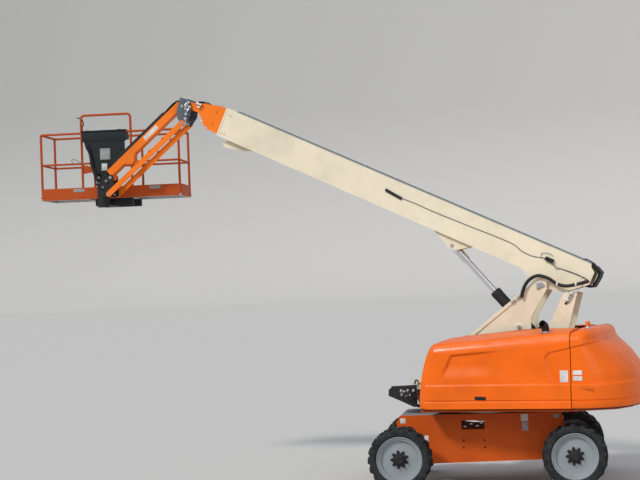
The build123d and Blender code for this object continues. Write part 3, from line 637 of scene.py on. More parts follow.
def tail_shell():
    plan = tail_curve()
    levels = [HOOD_Z0, HOOD_Z0 + 0.012, GROOVE_Z - 0.008, GROOVE_Z - 0.003, GROOVE_Z + 0.011,
              GROOVE_Z + 0.016]
    levels += [GROOVE_Z + 0.016 + (CREASE_Z - 0.01 - GROOVE_Z - 0.016) * k / 8 for k in range(1, 9)]
    levels += [CREASE_Z + 0.012 + 0.0105 * k for k in range(64)]
    core = Vector((1.20, 0, 0))
    bm = new()
    walls = []
    for z in levels:
        ring = []
        for p in plan:
            top = roof_z(p.x, p.y) - EDGE_R
            h = min(z, top)
            x = p.x
            limit = tail_back(h + EDGE_R * 0.4)
            if p.x > TAIL_BEND_X:
                share = (p.x - TAIL_BEND_X) / (TAIL_LINE[-1][0] - TAIL_BEND_X)
                x = TAIL_BEND_X + share * (limit - TAIL_BEND_X)
            inward = (core - p).normalized()
            press = pressed(min(x, 2.2), h)
            lip = 0.010 if z == levels[0] else 0.0
            ring.append(Vector((max(x + inward.x * (press * 0.6 + lip), TAIL_X0),
                                p.y + inward.y * (press + lip), h)))
        # Even out the ring behind its straight flanks
        for _ in range(3):
            kept = [q.copy() for q in ring]
            for i in range(1, len(ring) - 1):
                if kept[i].x > 1.66:
                    ring[i] = (kept[i - 1] + kept[i] * 2 + kept[i + 1]) / 4
                    ring[i].z = kept[i].z
        walls.append(ring)
    rim = walls[-1]
    for k in range(1, 8):
        a = radians(90) * k / 7
        ring = []
        for q, p in zip(rim, plan):
            inward = (core - p).normalized()
            shift = EDGE_R * (1 - cos(a))
            x = q.x + inward.x * shift
            y = q.y + inward.y * shift
            z = q.z + EDGE_R * sin(a)
            ring.append(Vector((max(x, TAIL_X0), y, z)))
        walls.append(ring)
    last = walls[-1]
    for share in (0.25, 0.5, 0.75):
        ring = []
        for q in last:
            y = q.y * (1 - share)
            lift = min(roof_z(q.x, y), tail_top(q.x)) - q.z
            ring.append(Vector((q.x + (TAIL_X0 - q.x) * share * 0.6, y, q.z + max(0.0, lift) * share)))
        walls.append(ring)
    grid = [[bm.verts.new(p) for p in ring] for ring in walls]
    for one, two in zip(grid, grid[1:]):
        bridge(bm, one, two, False)
    bm.faces.new(grid[-1])
    bmesh.ops.remove_doubles(bm, verts=bm.verts, dist=0.0004)
    obj = piece("tail_shell", bm, "turret", "hood_orange", hides=("tail_cover", "counterweight"), angle=45)
    face_out(obj, (1.6, 0, 1.7))
    skin(obj, TAIL_SKIN)
    bm = new()
    slab(bm, [(max(p.x - 0.02, TAIL_X0 + 0.004), p.y * 0.982) for p in plan], 1.140, HOOD_Z0 + 0.02, "Z")
    piece("tail_underside", bm, "turret", "black_metal", edge=0.006)


tail_shell()

# Soft edges on the plain plates that are shown as they were packed
PLATES = {
    "boom_base": 0.006, "boom_mid": 0.004, "boom_fly": 0.003, "fly_head": 0.003, "tower": 0.004,
    "rear_strut": 0.004, "turret_nose": 0.005, "turret_deck": 0.003, "chassis_sides": 0.003,
    "chassis_ends": 0.003, "chassis_top": 0.002, "axle_bracket": 0.008, "drive_axle": 0.010,
    "steer_axle": 0.008, "jib_arm": 0.005, "jib_knuckle": 0.003, "jib_links": 0.004,
    "platform_support": 0.004, "platform_carrier": 0.006, "toe_boards": 0.001, "platform_floor": 0.002,
    "lift_barrel": 0.003, "lift_rod": 0.002, "boom_pivot_pin": 0.004, "engine": 0.02,
    "fluid_tank": 0.03,
}
for node, width in PLATES.items():
    smooth(NODES[node].data, 30.0)
    soften(NODES[node], width)
for node in ("platform_posts", "platform_rails", "steer_knuckle_near", "steer_knuckle_far", "beacon",
             "exhaust"):
    smooth(NODES[node].data, 40.0)


# Hood fittings: latches, blank placards and the reflector on the tail
def sheet_on(bm, corners, out):
    low = [bm.verts.new(c) for c in corners]
    high = [bm.verts.new(Vector(c) + Vector(out)) for c in corners]
    bm.faces.new(low)
    bm.faces.new(reversed(high))
    bridge(bm, low, high)
    return bm


def rect(x0, x1, z0, z1, y):
    return ((x0, y, z0), (x1, y, z0), (x1, y, z1), (x0, y, z1))


# A blank notice on a hood's side, lying on its slope
def side_notice(bm, x0, x1, z0, z1, side, out=0.003):
    corners = []
    for x, z in ((x0, z0), (x1, z0), (x1, z1), (x0, z1)):
        corners.append((x, side * (HOOD_Y - pressed((x0 + x1) / 2, z) - 0.0005), z))
    return sheet_on(bm, corners, (0, side * out, 0))


for side_name, side in SIDES:
    door = f"hood_door_{side_name}"
    bm = plate(new(), ((0.100, 1.286), (0.268, 1.280), (0.268, 1.330), (0.100, 1.336)), 0.016,
               side * 1.186, side * 1.2035)
    piece(f"latch_cup_{side_name}", bm, door, "black_metal", edge=0.003)
    bm = plate(new(), ((0.116, 1.299), (0.222, 1.295), (0.222, 1.316), (0.116, 1.320)), 0.008,
               side * 1.200, side * 1.2145)
    cap(bm, 0.017, 0.012, (0, 0.012, 0.015), (0.243, side * 1.2055 - 0.0075, 1.308), "Y", 24)
    piece(f"latch_paddle_{side_name}", bm, door, "dark_plastic", edge=0.002)
    bm = side_notice(new(), 1.326, 1.440, 1.520, 1.684, side)
    piece(f"door_placard_{side_name}", bm, door, "placard", edge=0.0015)
    bm = side_notice(new(), 1.510, 1.640, 1.540, 1.602, side, 0.010)
    side_notice(bm, 1.510, 1.640, 1.620, 1.682, side, 0.010)
    piece(f"tail_placards_{side_name}", bm, "turret", "placard", edge=0.0015)
    bm = plate(new(), ((1.590, 1.428), (1.780, 1.418), (1.780, 1.448), (1.590, 1.458)), 0.012,
               side * 1.186, side * 1.2015)
    piece(f"tail_reflector_{side_name}", bm, "turret", "amber", edge=0.002)

# Boom dressing in the boom's own frame: x is minus the reach, z the height across it
BASE_FRONT = 5.690
BASE_V0 = 0.105
BASE_V1 = 0.565
BASE_Y = 0.170
CABLE = ((2.45, 0.352), (2.24, 0.360), (1.93, 0.356), (1.63, 0.362), (1.30, 0.370), (0.89, 0.384),
         (0.62, 0.382), (0.50, 0.352), (0.43, 0.334), (0.28, 0.332), (0.12, 0.370), (0.04, 0.385))


def boom_piece(name, bm, slot, edge=0.003, body="boom", hides=()):
    return piece(name, bm, body, slot, ON_BOOM, hides, edge)


def boom_line(name, points, r, slot="black_metal", body="boom"):
    return line(name, points, r, body, slot, ON_BOOM)


for side_name, side in SIDES:
    bm = plate(new(), ((-2.752, 0.352), (-2.460, 0.324), (-2.460, 0.368), (-2.752, 0.396)), 0.010,
               side * BASE_Y, side * 0.192)
    boom_piece(f"side_bar_{side_name}", bm, "black_metal")
    bm = new()
    for u, v in ((5.615, 0.476), (5.568, 0.480), (5.620, 0.172), (5.574, 0.176)):
        bolt(bm, (-u, side * BASE_Y, v), "Y", 0.011, side * 0.014)
    boom_piece(f"collar_bolts_{side_name}", bm, "boom_cream", 0.0)
    bm = new()
    for v in (0.446, 0.250):
        bolt(bm, (-5.840, side * 0.150, v), "Y", 0.013, side * 0.008)
    boom_piece(f"wear_pad_bolts_{side_name}", bm, "jib_orange", 0.0, "mid_section")
    # A lip at the base section's front end
    corners = ((-BASE_FRONT, BASE_V0 + 0.02), (-BASE_FRONT + 0.03, BASE_V0 + 0.02),
               (-BASE_FRONT + 0.03, BASE_V1 - 0.02), (-BASE_FRONT, BASE_V1 - 0.02))
    boom_piece(f"front_lip_{side_name}", slab(new(), corners, side * BASE_Y, side * (BASE_Y + 0.006)),
               "boom_cream", 0.002)
for side_name, side in SIDES:
    boom_line(f"sensor_cable_{side_name}", [(-u, side * 0.177, v) for u, v in CABLE], 0.0055, "knuckle_grey")
boom_line("switch_curl", [(-0.150, -0.178, 0.375), (-0.165, -0.180, 0.420), (-0.119, -0.182, 0.452),
                          (-0.051, -0.182, 0.465), (0.010, -0.178, 0.452)], 0.004, "rim_grey")
bm = plate(new(), ((-0.085, 0.352), (0.045, 0.352), (0.045, 0.412), (-0.085, 0.412)), 0.01, -BASE_Y, -0.214)
bolt(bm, (-0.050, -0.214, 0.382), "Y", 0.012, -0.018)
boom_piece("limit_switch", bm, "black_metal", 0.004)
boom_line("switch_hose", [(-0.04, -0.186, 0.380), (0.03, -0.192, 0.350), (0.10, -0.190, 0.322),
                          (0.22, -0.190, 0.330), (0.34, -0.188, 0.342), (0.46, -0.188, 0.346),
                          (0.58, -0.186, 0.336), (0.64, -0.184, 0.322)], 0.007, "knuckle_grey")
bm = union(new(), 0.020, 0.014, (-0.02, 0.0, 0.004, 0.03), (0.130, -0.192, 0.318), "X", 18)
rod(bm, 0.018, -0.015, 0.01, (0.520, -0.188, 0.342), "X", 18)
boom_piece("silver_unions", bm, "steel", 0.002)

# Hoses in the tray, held down by straps
for i, y in enumerate((-0.108, -0.090, -0.072)):
    boom_line(f"tray_hose_{i}", [(-5.50, y, BASE_V1 + 0.012), (-3.0, y, BASE_V1 + 0.013),
                                 (-1.0, y, BASE_V1 + 0.012), (0.56, y, BASE_V1 + 0.013)], 0.007)
bm = new()
for k in range(12):
    x = -5.35 + k * 0.53
    brick(bm, x, x + 0.03, -0.136, -0.056, BASE_V1 + 0.018, BASE_V1 + 0.026)
boom_piece("tray_straps", bm, "rim_grey", 0.002)
bm = new()
for y0, y1, thick in ((-0.140, -0.134, 0.018), (-0.058, -0.052, 0.024), (-0.134, -0.058, 0.004)):
    brick(bm, -5.520, 0.560, y0, y1, BASE_V1 + 0.001, BASE_V1 + thick)
boom_piece("tray_channel", bm, "rim_grey", 0.001, hides=("boom_tray",))

# Hoses curling round the boom's rear end, and their guard
REAR_LOOP = ((0.42, BASE_V1 + 0.012), (0.54, BASE_V1 + 0.004), (0.628, 0.530), (0.706, 0.478),
             (0.716, 0.400), (0.706, 0.320), (0.690, 0.262), (0.600, 0.235))
for i, y in enumerate((-0.10, -0.055, -0.01, 0.035, 0.08)):
    boom_line(f"rear_hose_{i}", [(x, y, z) for x, z in REAR_LOOP], 0.016)
GUARD = ((0.560, 0.560), (0.640, 0.556), (0.738, 0.508), (0.745, 0.425), (0.736, 0.350), (0.724, 0.262),
         (0.716, 0.262), (0.727, 0.350), (0.735, 0.425), (0.728, 0.500), (0.636, 0.546), (0.560, 0.550))
boom_piece("rear_hose_guard", slab(new(), rounded(GUARD, 0.008, 2), -0.135, 0.110), "black_metal", 0.003)

# Fittings at the fly section's head
bm = turned(new(), ((0, -0.035), (0.024, -0.035), (0.024, -0.01), (0.018, -0.006), (0.018, 0.03),
                    (0.026, 0.034), (0.026, 0.055), (0, 0.055)), (-6.180, -0.146, 0.446), "X", 20)
rod(bm, 0.018, -0.03, 0.02, (-6.150, -0.146, 0.400), "X", 20)
boom_piece("head_fittings", bm, "chrome_rod", 0.002, "fly_section")
LEVEL_ROD = (-6.045, -0.060, 0.212)
bm = rod(new(), 0.013, -0.055, 0.075, LEVEL_ROD, "X", 20)
rod(bm, 0.024, 0.05, 0.10, LEVEL_ROD, "X", 20)
boom_piece("head_level_rod", bm, "chrome_rod", 0.002, "fly_section")
boom_line("head_hoses", [[(-6.00, y, 0.47), (-6.12, y, 0.50), (-6.23, y, 0.46), (-6.29, y - 0.005, 0.38)]
                         for y in (-0.075, -0.045, 0.045, 0.075)], 0.011, body="fly_section")

# Lift cylinder: its bolted gland and the pipe along its barrel
BASE_PIN = Vector((0.840, 0.0, 2.028))
ROD_PIN = ON_BOOM @ Vector((-1.474, 0.0, -0.012))
AXIS = (ROD_PIN - BASE_PIN).normalized()
CYL = Matrix.Translation(BASE_PIN) @ AXIS.to_track_quat("X", "Y").to_matrix().to_4x4()
BARREL_END = max((v.co - BASE_PIN).dot(AXIS) for v in NODES["lift_barrel"].data.vertices)
GLAND = ((0.0465, -0.09), (0.083, -0.09), (0.0845, -0.08), (0.0845, -0.015), (0.078, -0.002), (0.058, 0.006),
         (0.0465, 0.006))
bm = turned(new(), [(r, BARREL_END + h) for r, h in GLAND], (0, 0, 0), "X", 40)
for k in range(8):
    a = 2 * pi * k / 8
    bolt(bm, (BARREL_END, 0.068 * cos(a), 0.068 * sin(a)), "X", 0.008, 0.010)
piece("cylinder_gland", bm, "lift_cylinder", "black_metal", CYL, edge=0.002)
line("cylinder_pipe", [(0.20, -0.060, 0.085), (0.30, -0.062, 0.098), (0.55, -0.062, 0.098),
                       (BARREL_END - 0.16, -0.062, 0.098), (BARREL_END - 0.09, -0.050, 0.085)],
     0.010, "lift_cylinder", "steel", CYL)

# Tower and strut: washers, keepers, clamps and the hose over the pivot
BOSS = (0.572, 0, 2.272)
BOSS_ROWS = ((0.0, 0.0), (0.070, 0.0), (0.070, 0.006), (0.066, 0.009), (0.042, 0.009), (0.040, 0.020),
             (0.034, 0.024), (0, 0.024))
WASHER_ROWS = ((0.014, -0.002), (0.030, -0.002), (0.030, 0.005), (0.014, 0.005))
bm = new()
bolts = new()
for side in (-1, 1):
    turned(bm, [(r, side * (0.245 + h)) for r, h in BOSS_ROWS], BOSS, "Y", 40)
    turned(bolts, [(r, side * (0.269 + h)) for r, h in WASHER_ROWS], BOSS, "Y", 32)
    bolt(bolts, (BOSS[0], side * 0.267, BOSS[2]), "Y", 0.012, side * 0.016)
piece("tower_boss", bm, "turret", "boom_cream", edge=0.002)
piece("tower_boss_bolt", bolts, "turret", "steel", edge=0.001)
for side_name, side in SIDES:
    bm = plate(new(), ((0.862, 2.806), (0.974, 2.856), (0.958, 2.892), (0.846, 2.842)), 0.014,
               side * 0.250, side * 0.262)
    bolt(bm, (0.876, side * 0.262, 2.832), "Y", 0.014, side * 0.018)
    cap(bm, 0.045, 0.030, (side * 0.246, side * 0.262, side * 0.266), (PIVOT.x, 0, PIVOT.z), "Y", 32)
    piece(f"pivot_keeper_{side_name}", bm, "turret", "steel", edge=0.002)
    # A silver lever on the strut, its stop, and a flange along the tower's leading edge
    bm = plate(new(), ((1.276, 2.628), (1.318, 2.604), (1.384, 2.700), (1.396, 2.752), (1.352, 2.758),
                       (1.326, 2.706)), 0.012, side * 0.247, side * 0.268)
    for x, z in ((1.304, 2.634), (1.366, 2.728)):
        cap(bm, 0.026, 0.016, (side * 0.268, side * 0.274, side * 0.279), (x, 0, z), "Y", 24)
    piece(f"strut_keepers_{side_name}", bm, "turret", "steel", edge=0.003)
    bm = plate(new(), ((1.250, 2.592), (1.276, 2.576), (1.306, 2.606), (1.286, 2.628)), 0.008,
               side * 0.246, side * 0.262)
    piece(f"strut_stop_{side_name}", bm, "turret", "black_metal", edge=0.002)
    bm = slab(new(), ((-0.990, 1.470), (-0.196, 2.159), (0.650, 2.800), (0.680, 2.762), (-0.163, 2.121),
                      (-0.957, 1.432)), side * 0.196, side * 0.262)
    piece(f"tower_flange_{side_name}", bm, "turret", "boom_cream", edge=0.003)

HOSE_Y = -0.286
HOSE = ((0.632, 2.700), (0.652, 2.790), (0.692, 2.880), (0.768, 2.966), (0.890, 3.012), (1.035, 2.968),
        (1.163, 2.882), (1.294, 2.848), (1.439, 2.866), (1.623, 2.905))
line("pivot_hose", [(x, HOSE_Y, z) for x, z in HOSE], 0.026, "boom", "black_metal")
bm = new()
for x, z in ((1.163, 2.880), (1.439, 2.868)):
    turned(bm, ((0.024, -0.012), (0.031, -0.012), (0.031, 0.012), (0.024, 0.012)), (x, HOSE_Y, z), "X", 20)
piece("hose_ties", bm, "boom", "placard", edge=0.001)
bm = new()
for x, z in ((0.505, 2.655), (0.590, 2.718)):
    plate(bm, ((x - 0.026, z - 0.040), (x + 0.036, z + 0.006), (x + 0.020, z + 0.030),
               (x - 0.042, z - 0.016)), 0.006, -0.258, -0.276)
    bolt(bm, (x, -0.276, z - 0.006), "Y", 0.010, -0.012)
piece("hose_clamps", bm, "turret", "steel", edge=0.002)

# Knuckle fittings and jib hoses
bm = new()
for x, z in ((-4.661, 5.965), (-4.638, 5.893), (-4.704, 5.863), (-4.707, 5.781), (-4.722, 5.712)):
    union(bm, 0.020, 0.013, (-0.143, -0.166, -0.170, -0.196), (x, 0, z), "Y", 18)
    bolt(bm, (x, -0.190, z), "Y", 0.014, -0.016)
piece("knuckle_fittings", bm, "knuckle", "chrome_rod", edge=0.001)
line("knuckle_hoses",
     [[(-4.661, -0.185, 5.965), (-4.700, -0.205, 5.930), (-4.700, -0.205, 5.890), (-4.704, -0.185, 5.863)],
      [(-4.638, -0.185, 5.893), (-4.650, -0.210, 5.840), (-4.690, -0.205, 5.800), (-4.707, -0.185, 5.781)],
      [(-4.722, -0.180, 5.712), (-4.700, -0.205, 5.680), (-4.720, -0.190, 5.640), (-4.760, -0.160, 5.620)]],
     0.010, "knuckle", "chrome_rod")
bm = plate(new(), ((-1.56, 0.139), (-0.33, 0.139), (-0.30, 0.160), (-0.36, 0.192), (-1.50, 0.192),
                   (-1.58, 0.170)), 0.012, -0.048, 0.048)
piece("jib_hose_cover", bm, "jib", "black_metal", ON_ARM, edge=0.006)
JIB_HOSES = (((-0.34, 0.165), (-0.16, 0.176), (-0.05, 0.160), (0.02, 0.115)),
             ((-1.55, 0.165), (-1.66, 0.160), (-1.735, 0.120), (-1.76, 0.060)))
line("jib_hoses", [[(x, y, z) for x, z in run] for run in JIB_HOSES for y in (-0.034, -0.011, 0.011, 0.034)],
     0.010, "jib", "black_metal", ON_ARM)
bm = new()
for side in (-1, 1):
    brick(bm, -0.860, -0.560, side * 0.0625, side * 0.0645, 0.040, 0.112)
piece("jib_placards", bm, "jib", "placard", ON_ARM, edge=0.0008)
bm = new()
for side in (-1, 1):
    for x in (-0.42, -0.72, -1.02):
        plate(bm, ((x - 0.03, 0.036), (x + 0.03, 0.036), (x + 0.02, 0.062), (x - 0.02, 0.062)), 0.006,
              side * 0.150, side * 0.168)
        bolt(bm, (x, side * 0.168, 0.046), "Y", 0.008, side * 0.012)
piece("link_brackets", bm, "jib_link", "jib_orange", ON_LINK, edge=0.002)

# Platform, drawn up from its floor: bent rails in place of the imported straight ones
PX0 = -1.120
PX1 = PX0 + 2.372
PY0 = 0.235
PY1 = PY0 + 0.850
FLOOR_T = 0.042
RAIL_H = 1.052
MID_H = 0.548
HIGH_H = 1.345
HIGH_X0 = -0.405
HIGH_X1 = 0.430
TOE_H = 0.150
RAIL_R = 0.019
POST_R = RAIL_R + 0.001
POST_IN = 0.025
LX0, LX1, LY0, LY1 = PX0 + POST_IN, PX1 - POST_IN, PY0 + POST_IN, PY1 - POST_IN


# Corners of a rail run, each turned through a short bend
def bent(points, r, closed=False):
    pts = [Vector(p) for p in points]
    out = []
    n = len(pts)
    for i, p in enumerate(pts):
        if not closed and i in (0, n - 1):
            out.append(p)
            continue
        a = pts[i - 1] - p
        b = pts[(i + 1) % n] - p
        reach = min(r, a.length * 0.45, b.length * 0.45)
        start = p + a.normalized() * reach
        end = p + b.normalized() * reach
        out += turn_of(start, p, end, 6)
    return out


def floor_piece(name, bm, slot="platform_orange", edge=0.0, hides=()):
    return piece(name, bm, "platform", slot, ON_FLOOR, hides, edge)


def rail(name, runs, r=POST_R, closed=False, hides=()):
    return line(name, runs, r, "platform", "platform_orange", ON_FLOOR, False, closed, 4, hides)


def rail_round(name, z, r, hides=()):
    corners = ((LX0, LY0, z), (LX1, LY0, z), (LX1, LY1, z), (LX0, LY1, z))
    return rail(name, [bent(corners, 0.06, True)], r, True, hides)


FOOT_Z = 0.01
rail_round("rail_top", RAIL_H, RAIL_R, ("platform_rails",))
rail_round("rail_mid", MID_H, RAIL_R - 0.002)
hoop = ((HIGH_X0, LY0, FOOT_Z), (HIGH_X0, LY0, HIGH_H), (HIGH_X1, LY0, HIGH_H), (HIGH_X1, LY0, FOOT_Z))
rail("rail_high", bent(hoop, 0.07), hides=("platform_posts",))
at = [(x, y) for x in (LX0, LX1) for y in (LY0, LY1)] + [(HIGH_X0, LY1), (HIGH_X1, LY1)]
rail("posts", [[(x, y, FOOT_Z), (x, y, RAIL_H)] for x, y in at])
bm = new()
for x in (LX0, HIGH_X0, HIGH_X1, LX1):
    for y in (LY0, LY1):
        cap(bm, 0.034, 0.026, (0, 0.008, 0.012), (x, y, 0.001), "Z", 20)
floor_piece("post_feet", bm, edge=0.001)


# Toe boards as one bent ring with a rolled lip, and a plate on each
def toe_ring(inset):
    x0, x1, y0, y1 = PX0 + inset, PX1 - inset, PY0 + inset, PY1 - inset
    return rounded(((x0, y0), (x1, y0), (x1, y1), (x0, y1)), 0.055 - inset, 6)


TOE_LOOPS = ((0, -FLOOR_T), (0, TOE_H - 0.004), (0, TOE_H), (0.004, TOE_H + 0.002), (0.012, TOE_H),
             (0.012, TOE_H - 0.008), (0.004, TOE_H - 0.008), (0.004, -FLOOR_T))
bm = new()
grid = [[bm.verts.new((x, y, z)) for x, y in toe_ring(inset)] for inset, z in TOE_LOOPS]
for one, two in zip(grid, grid[1:] + grid[:1]):
    bridge(bm, one, two)
floor_piece("toe_board_ring", bm, hides=("toe_boards",))
bm = new()
for x0 in (-0.560, 0.720):
    for y, out in ((PY0, -0.002), (PY1, 0.002)):
        sheet_on(bm, rect(x0, x0 + 0.185, 0.085, 0.135, y), (0, out, 0))
floor_piece("toe_plates", bm, "placard_grey", 0.0005)

# Console with a sloping top, lid, switches and levers, and its panel below; x starts at its left end
CONSOLE_X = HIGH_X0 + 0.010
CONSOLE_W = HIGH_X1 - 0.080 - CONSOLE_X
BACK_Y = LY0 + RAIL_R
FRONT_Y = LY0 - RAIL_R - 0.012
CZ0 = RAIL_H - 0.140
CZ1 = RAIL_H + 0.036
ON_CONSOLE = ON_FLOOR @ Matrix.Translation((CONSOLE_X, 0, 0))


def console_piece(name, bm, slot="black_metal", edge=0.001, hides=()):
    return piece(name, bm, "platform", slot, ON_CONSOLE, hides, edge)


bm = plate(new(), ((FRONT_Y, CZ0), (BACK_Y + 0.190, CZ0 + 0.02), (BACK_Y + 0.198, CZ0 + 0.10),
                   (BACK_Y + 0.150, CZ1 - 0.028), (FRONT_Y, CZ1 - 0.008)), 0.018, 0, CONSOLE_W, "X")
console_piece("console_box", bm, "dark_plastic", 0.008, ("console",))
bm = new()
for x0, x1, z0, z1, r, y0, y1 in (
        (-0.010, CONSOLE_W + 0.010, CZ1 - 0.022, CZ1, 0.008, FRONT_Y - 0.012, BACK_Y + 0.120),
        (-0.004, CONSOLE_W + 0.004, CZ0 - 0.012, CZ0 + 0.010, 0.006, FRONT_Y - 0.008, FRONT_Y + 0.03),
        (0.06, 0.11, CZ1 - 0.002, CZ1 + 0.012, 0.006, BACK_Y, BACK_Y + 0.07),
        (0.60, 0.65, CZ1 - 0.002, CZ1 + 0.012, 0.006, BACK_Y, BACK_Y + 0.07)):
    plate(bm, ((x0, z0), (x1, z0), (x1, z1), (x0, z1)), r, y0, y1)
console_piece("console_lid", bm, "dark_plastic", 0.004)
SWITCH = ((0, 0), (0.014, 0), (0.014, 0.012), (0.008, 0.018), (0.006, 0.030), (0, 0.030))
LEVER = ((0, 0.185), (0.026, 0.185), (0.022, 0.200), (0.009, 0.210), (0.008, 0.236), (0.017, 0.244),
         (0.017, 0.276), (0, 0.284))
bm = new()
for k in range(6):
    turned(bm, SWITCH, (0.12 + 0.095 * k, BACK_Y + 0.178, CZ0 + 0.10), "Y", 16)
for x in (0.16, 0.56):
    turned(bm, LEVER, (x, BACK_Y, CZ0 + 0.045), "Y", 20)
console_piece("console_controls", bm)
PANEL_R = CONSOLE_W - 0.03
bm = plate(new(), ((0.06, CZ0 + 0.01), (0.17, 0.430), (0.21, 0.330), (0.24, 0.200), (0.50, 0.200),
                   (0.54, 0.310), (PANEL_R, 0.580), (PANEL_R, CZ0 + 0.01)), 0.02, FRONT_Y, BACK_Y + 0.012)
console_piece("console_panel", bm, "dark_plastic", 0.004)
bm = sheet_on(new(), rect(0.305, 0.475, 0.600, 0.785, FRONT_Y), (0, -0.004, 0))
console_piece("panel_plate", bm, "placard_grey")
bm = sheet_on(new(), rect(0.325, 0.420, 0.420, 0.535, FRONT_Y), (0, -0.004, 0))
console_piece("panel_notice", bm, "placard")
bm = cap(new(), 0.062, 0.050, (0, -0.030, -0.042), (0.405, FRONT_Y, 0.290), "Y", 32)
for x, z in ((0.27, 0.37), (0.30, 0.25)):
    union(bm, 0.022, 0.015, (0, -0.020, -0.024, -0.046), (x, FRONT_Y, z), "Y", 16)
console_piece("panel_valves", bm, edge=0.002)
bm = plate(new(), ((-0.415, 0.373), (-0.405, 0.530), (-0.300, 0.508), (-0.215, 0.458), (-0.215, 0.403)),
           0.012, LY0 - 0.006, LY0 + 0.006)
floor_piece("entry_gusset", bm, edge=0.002)
line("rail_hose", [(-0.475, LY0 + 0.02, 1.318), (-0.400, LY0 + 0.03, 1.288), (-0.375, LY0 + 0.04, 1.218),
                   (-0.400, LY0 + 0.05, 1.148), (-0.390, BACK_Y + 0.04, 1.058)],
     0.010, "platform", "black_metal", ON_FLOOR)
line("loose_loop", [(-0.56, LY0 - 0.01, 0.568), (-0.58, LY0 - 0.02, 0.608), (-0.545, LY0 - 0.02, 0.628),
                    (-0.48, LY0 - 0.02, 0.598), (-0.40, LY0 - 0.02, 0.558)], 0.007, "platform", "rim_grey",
     ON_FLOOR)
PANEL_HOSES = (((0.05, 0.01, 0.01), (0.08, -0.02, 0.10), (0.13, -0.02, 0.22), (0.16, -0.02, 0.42),
                (0.24, -0.03, 0.62)), ((0.08, 0.01, 0.01), (0.12, -0.03, 0.12), (0.16, -0.03, 0.28),
                                       (0.20, -0.03, 0.48), (0.27, -0.03, 0.62)))
line("panel_hoses", [[(x, FRONT_Y + y, CZ0 - drop) for x, y, drop in run] for run in PANEL_HOSES],
     0.013, "platform", "black_metal", ON_CONSOLE)

# Rotator with its bolts, fittings and hoses at the support; x starts at its axis
ON_ROTATOR = Matrix.Translation((ROTATOR_X, 0, 0))
END_Z = JIB_PIN.z - JIB_LEN * sin(JIB_ANGLE)
bm = new()
for k in range(6):
    turn = 2 * pi * k / 6
    bolt(bm, (0.070 * cos(turn), 0.070 * sin(turn), END_Z - 0.082), "Z", 0.012, 0.020)
piece("rotator_bolts", bm, "support", "steel", ON_ROTATOR)
bm = new()
for x, z in ((-0.02, 4.86), (0.05, 4.70), (0.12, 4.80)):
    union(bm, 0.018, 0.012, (-0.094, -0.112, -0.116, -0.138), (x, 0, z), "Y", 16)
piece("rotator_fittings", bm, "support", "steel", ON_ROTATOR, edge=0.001)
line("rotator_hoses",
     [[(-0.02, -0.130, 4.86), (-0.07, -0.150, 4.90), (-0.10, -0.130, 4.97), (-0.06, -0.08, 5.03)],
      [(0.05, -0.130, 4.70), (-0.01, -0.150, 4.72), (-0.06, -0.150, 4.80), (-0.09, -0.120, 4.92)]],
     0.011, "support", "black_metal", ON_ROTATOR)

# Chassis fittings
PLATE_Y = 0.5605
CHASSIS_Z1 = 1.030
PLACARDS = ((-1.272, -1.196, 0.916, 0.990), (0.486, 0.590, 0.912, 1.012), (-0.924, -0.868, 0.580, 0.732))
DULL_PLACARDS = ((0.500, 0.586, 0.772, 0.896), (0.955, 1.042, 0.950, 1.003))
VALVE = ((-1.205, 0.826), (-1.085, 0.818), (-1.085, 0.852), (-1.130, 0.872), (-1.205, 0.862))


def chassis_piece(name, bm, slot, edge=0.001):
    return piece(name, bm, "chassis", slot, ON_CHASSIS, edge=edge)


for side_name, side in SIDES:
    for name, boxes, slot in (("placards", PLACARDS, "placard"), ("plates", DULL_PLACARDS, "placard_grey")):
        bm = new()
        for box in boxes:
            sheet_on(bm, rect(*box, side * PLATE_Y), (0, side * 0.004, 0))
        chassis_piece(f"chassis_{name}_{side_name}", bm, slot)
    bm = plate(new(), VALVE, 0.008, side * PLATE_Y, side * (PLATE_Y + 0.045))
    bolt(bm, (-1.150, side * (PLATE_Y + 0.045), 0.846), "Y", 0.012, side * 0.016)
    chassis_piece(f"chassis_valve_{side_name}", bm, "black_metal", 0.003)
    # Pipes and fittings seen through the slot
    line(f"slot_hoses_{side_name}",
         [[(-0.44, side * 0.50, z), (-0.30, side * 0.515, z + 0.010), (-0.16, side * 0.51, z - 0.006),
           (0.02, side * 0.50, z + 0.004)] for z in (0.840, 0.872, 0.904)],
         0.011, "chassis", "black_metal", ON_CHASSIS)
    bm = new()
    for x, z in ((-0.33, 0.850), (-0.24, 0.888), (-0.15, 0.858), (-0.09, 0.898)):
        rod(bm, 0.017, -0.02, 0.02, (x, side * 0.52, z), "X", 14)
    chassis_piece(f"slot_unions_{side_name}", bm, "steel")

# A grey sheet on the chassis top, its colour partly dust and partly a painted sky reflection
bm = brick(new(), -1.262, 1.070, -0.552, 0.552, CHASSIS_Z1 + 0.0005, CHASSIS_Z1 + 0.0025)
chassis_piece("chassis_top_dust_and_sheen", bm, "rim_grey", 0.0)

# Nose fittings and its lifting hook
NOSE_FITTINGS = ((-1.190, 1.370), (-1.143, 1.357), (-1.085, 1.372), (-1.049, 1.311), (-1.115, 1.300),
                 (-1.180, 1.318), (-1.000, 1.372))
bm = new()
for x, z in NOSE_FITTINGS:
    union(bm, 0.022, 0.015, (-0.520, -0.536, -0.540, -0.565), (x, 0, z), "Y", 18)
piece("nose_fittings", bm, "turret", "steel", edge=0.001)
line("nose_hoses",
     [[(-1.143, -0.555, 1.357), (-1.12, -0.575, 1.320), (-1.06, -0.575, 1.260), (-1.00, -0.550, 1.215)],
      [(-1.085, -0.555, 1.380), (-1.03, -0.580, 1.330), (-1.00, -0.570, 1.260), (-0.965, -0.550, 1.215)],
      [(-1.049, -0.555, 1.311), (-1.01, -0.575, 1.290), (-0.97, -0.560, 1.270), (-0.95, -0.540, 1.260)]],
     0.010, "turret", "black_metal")
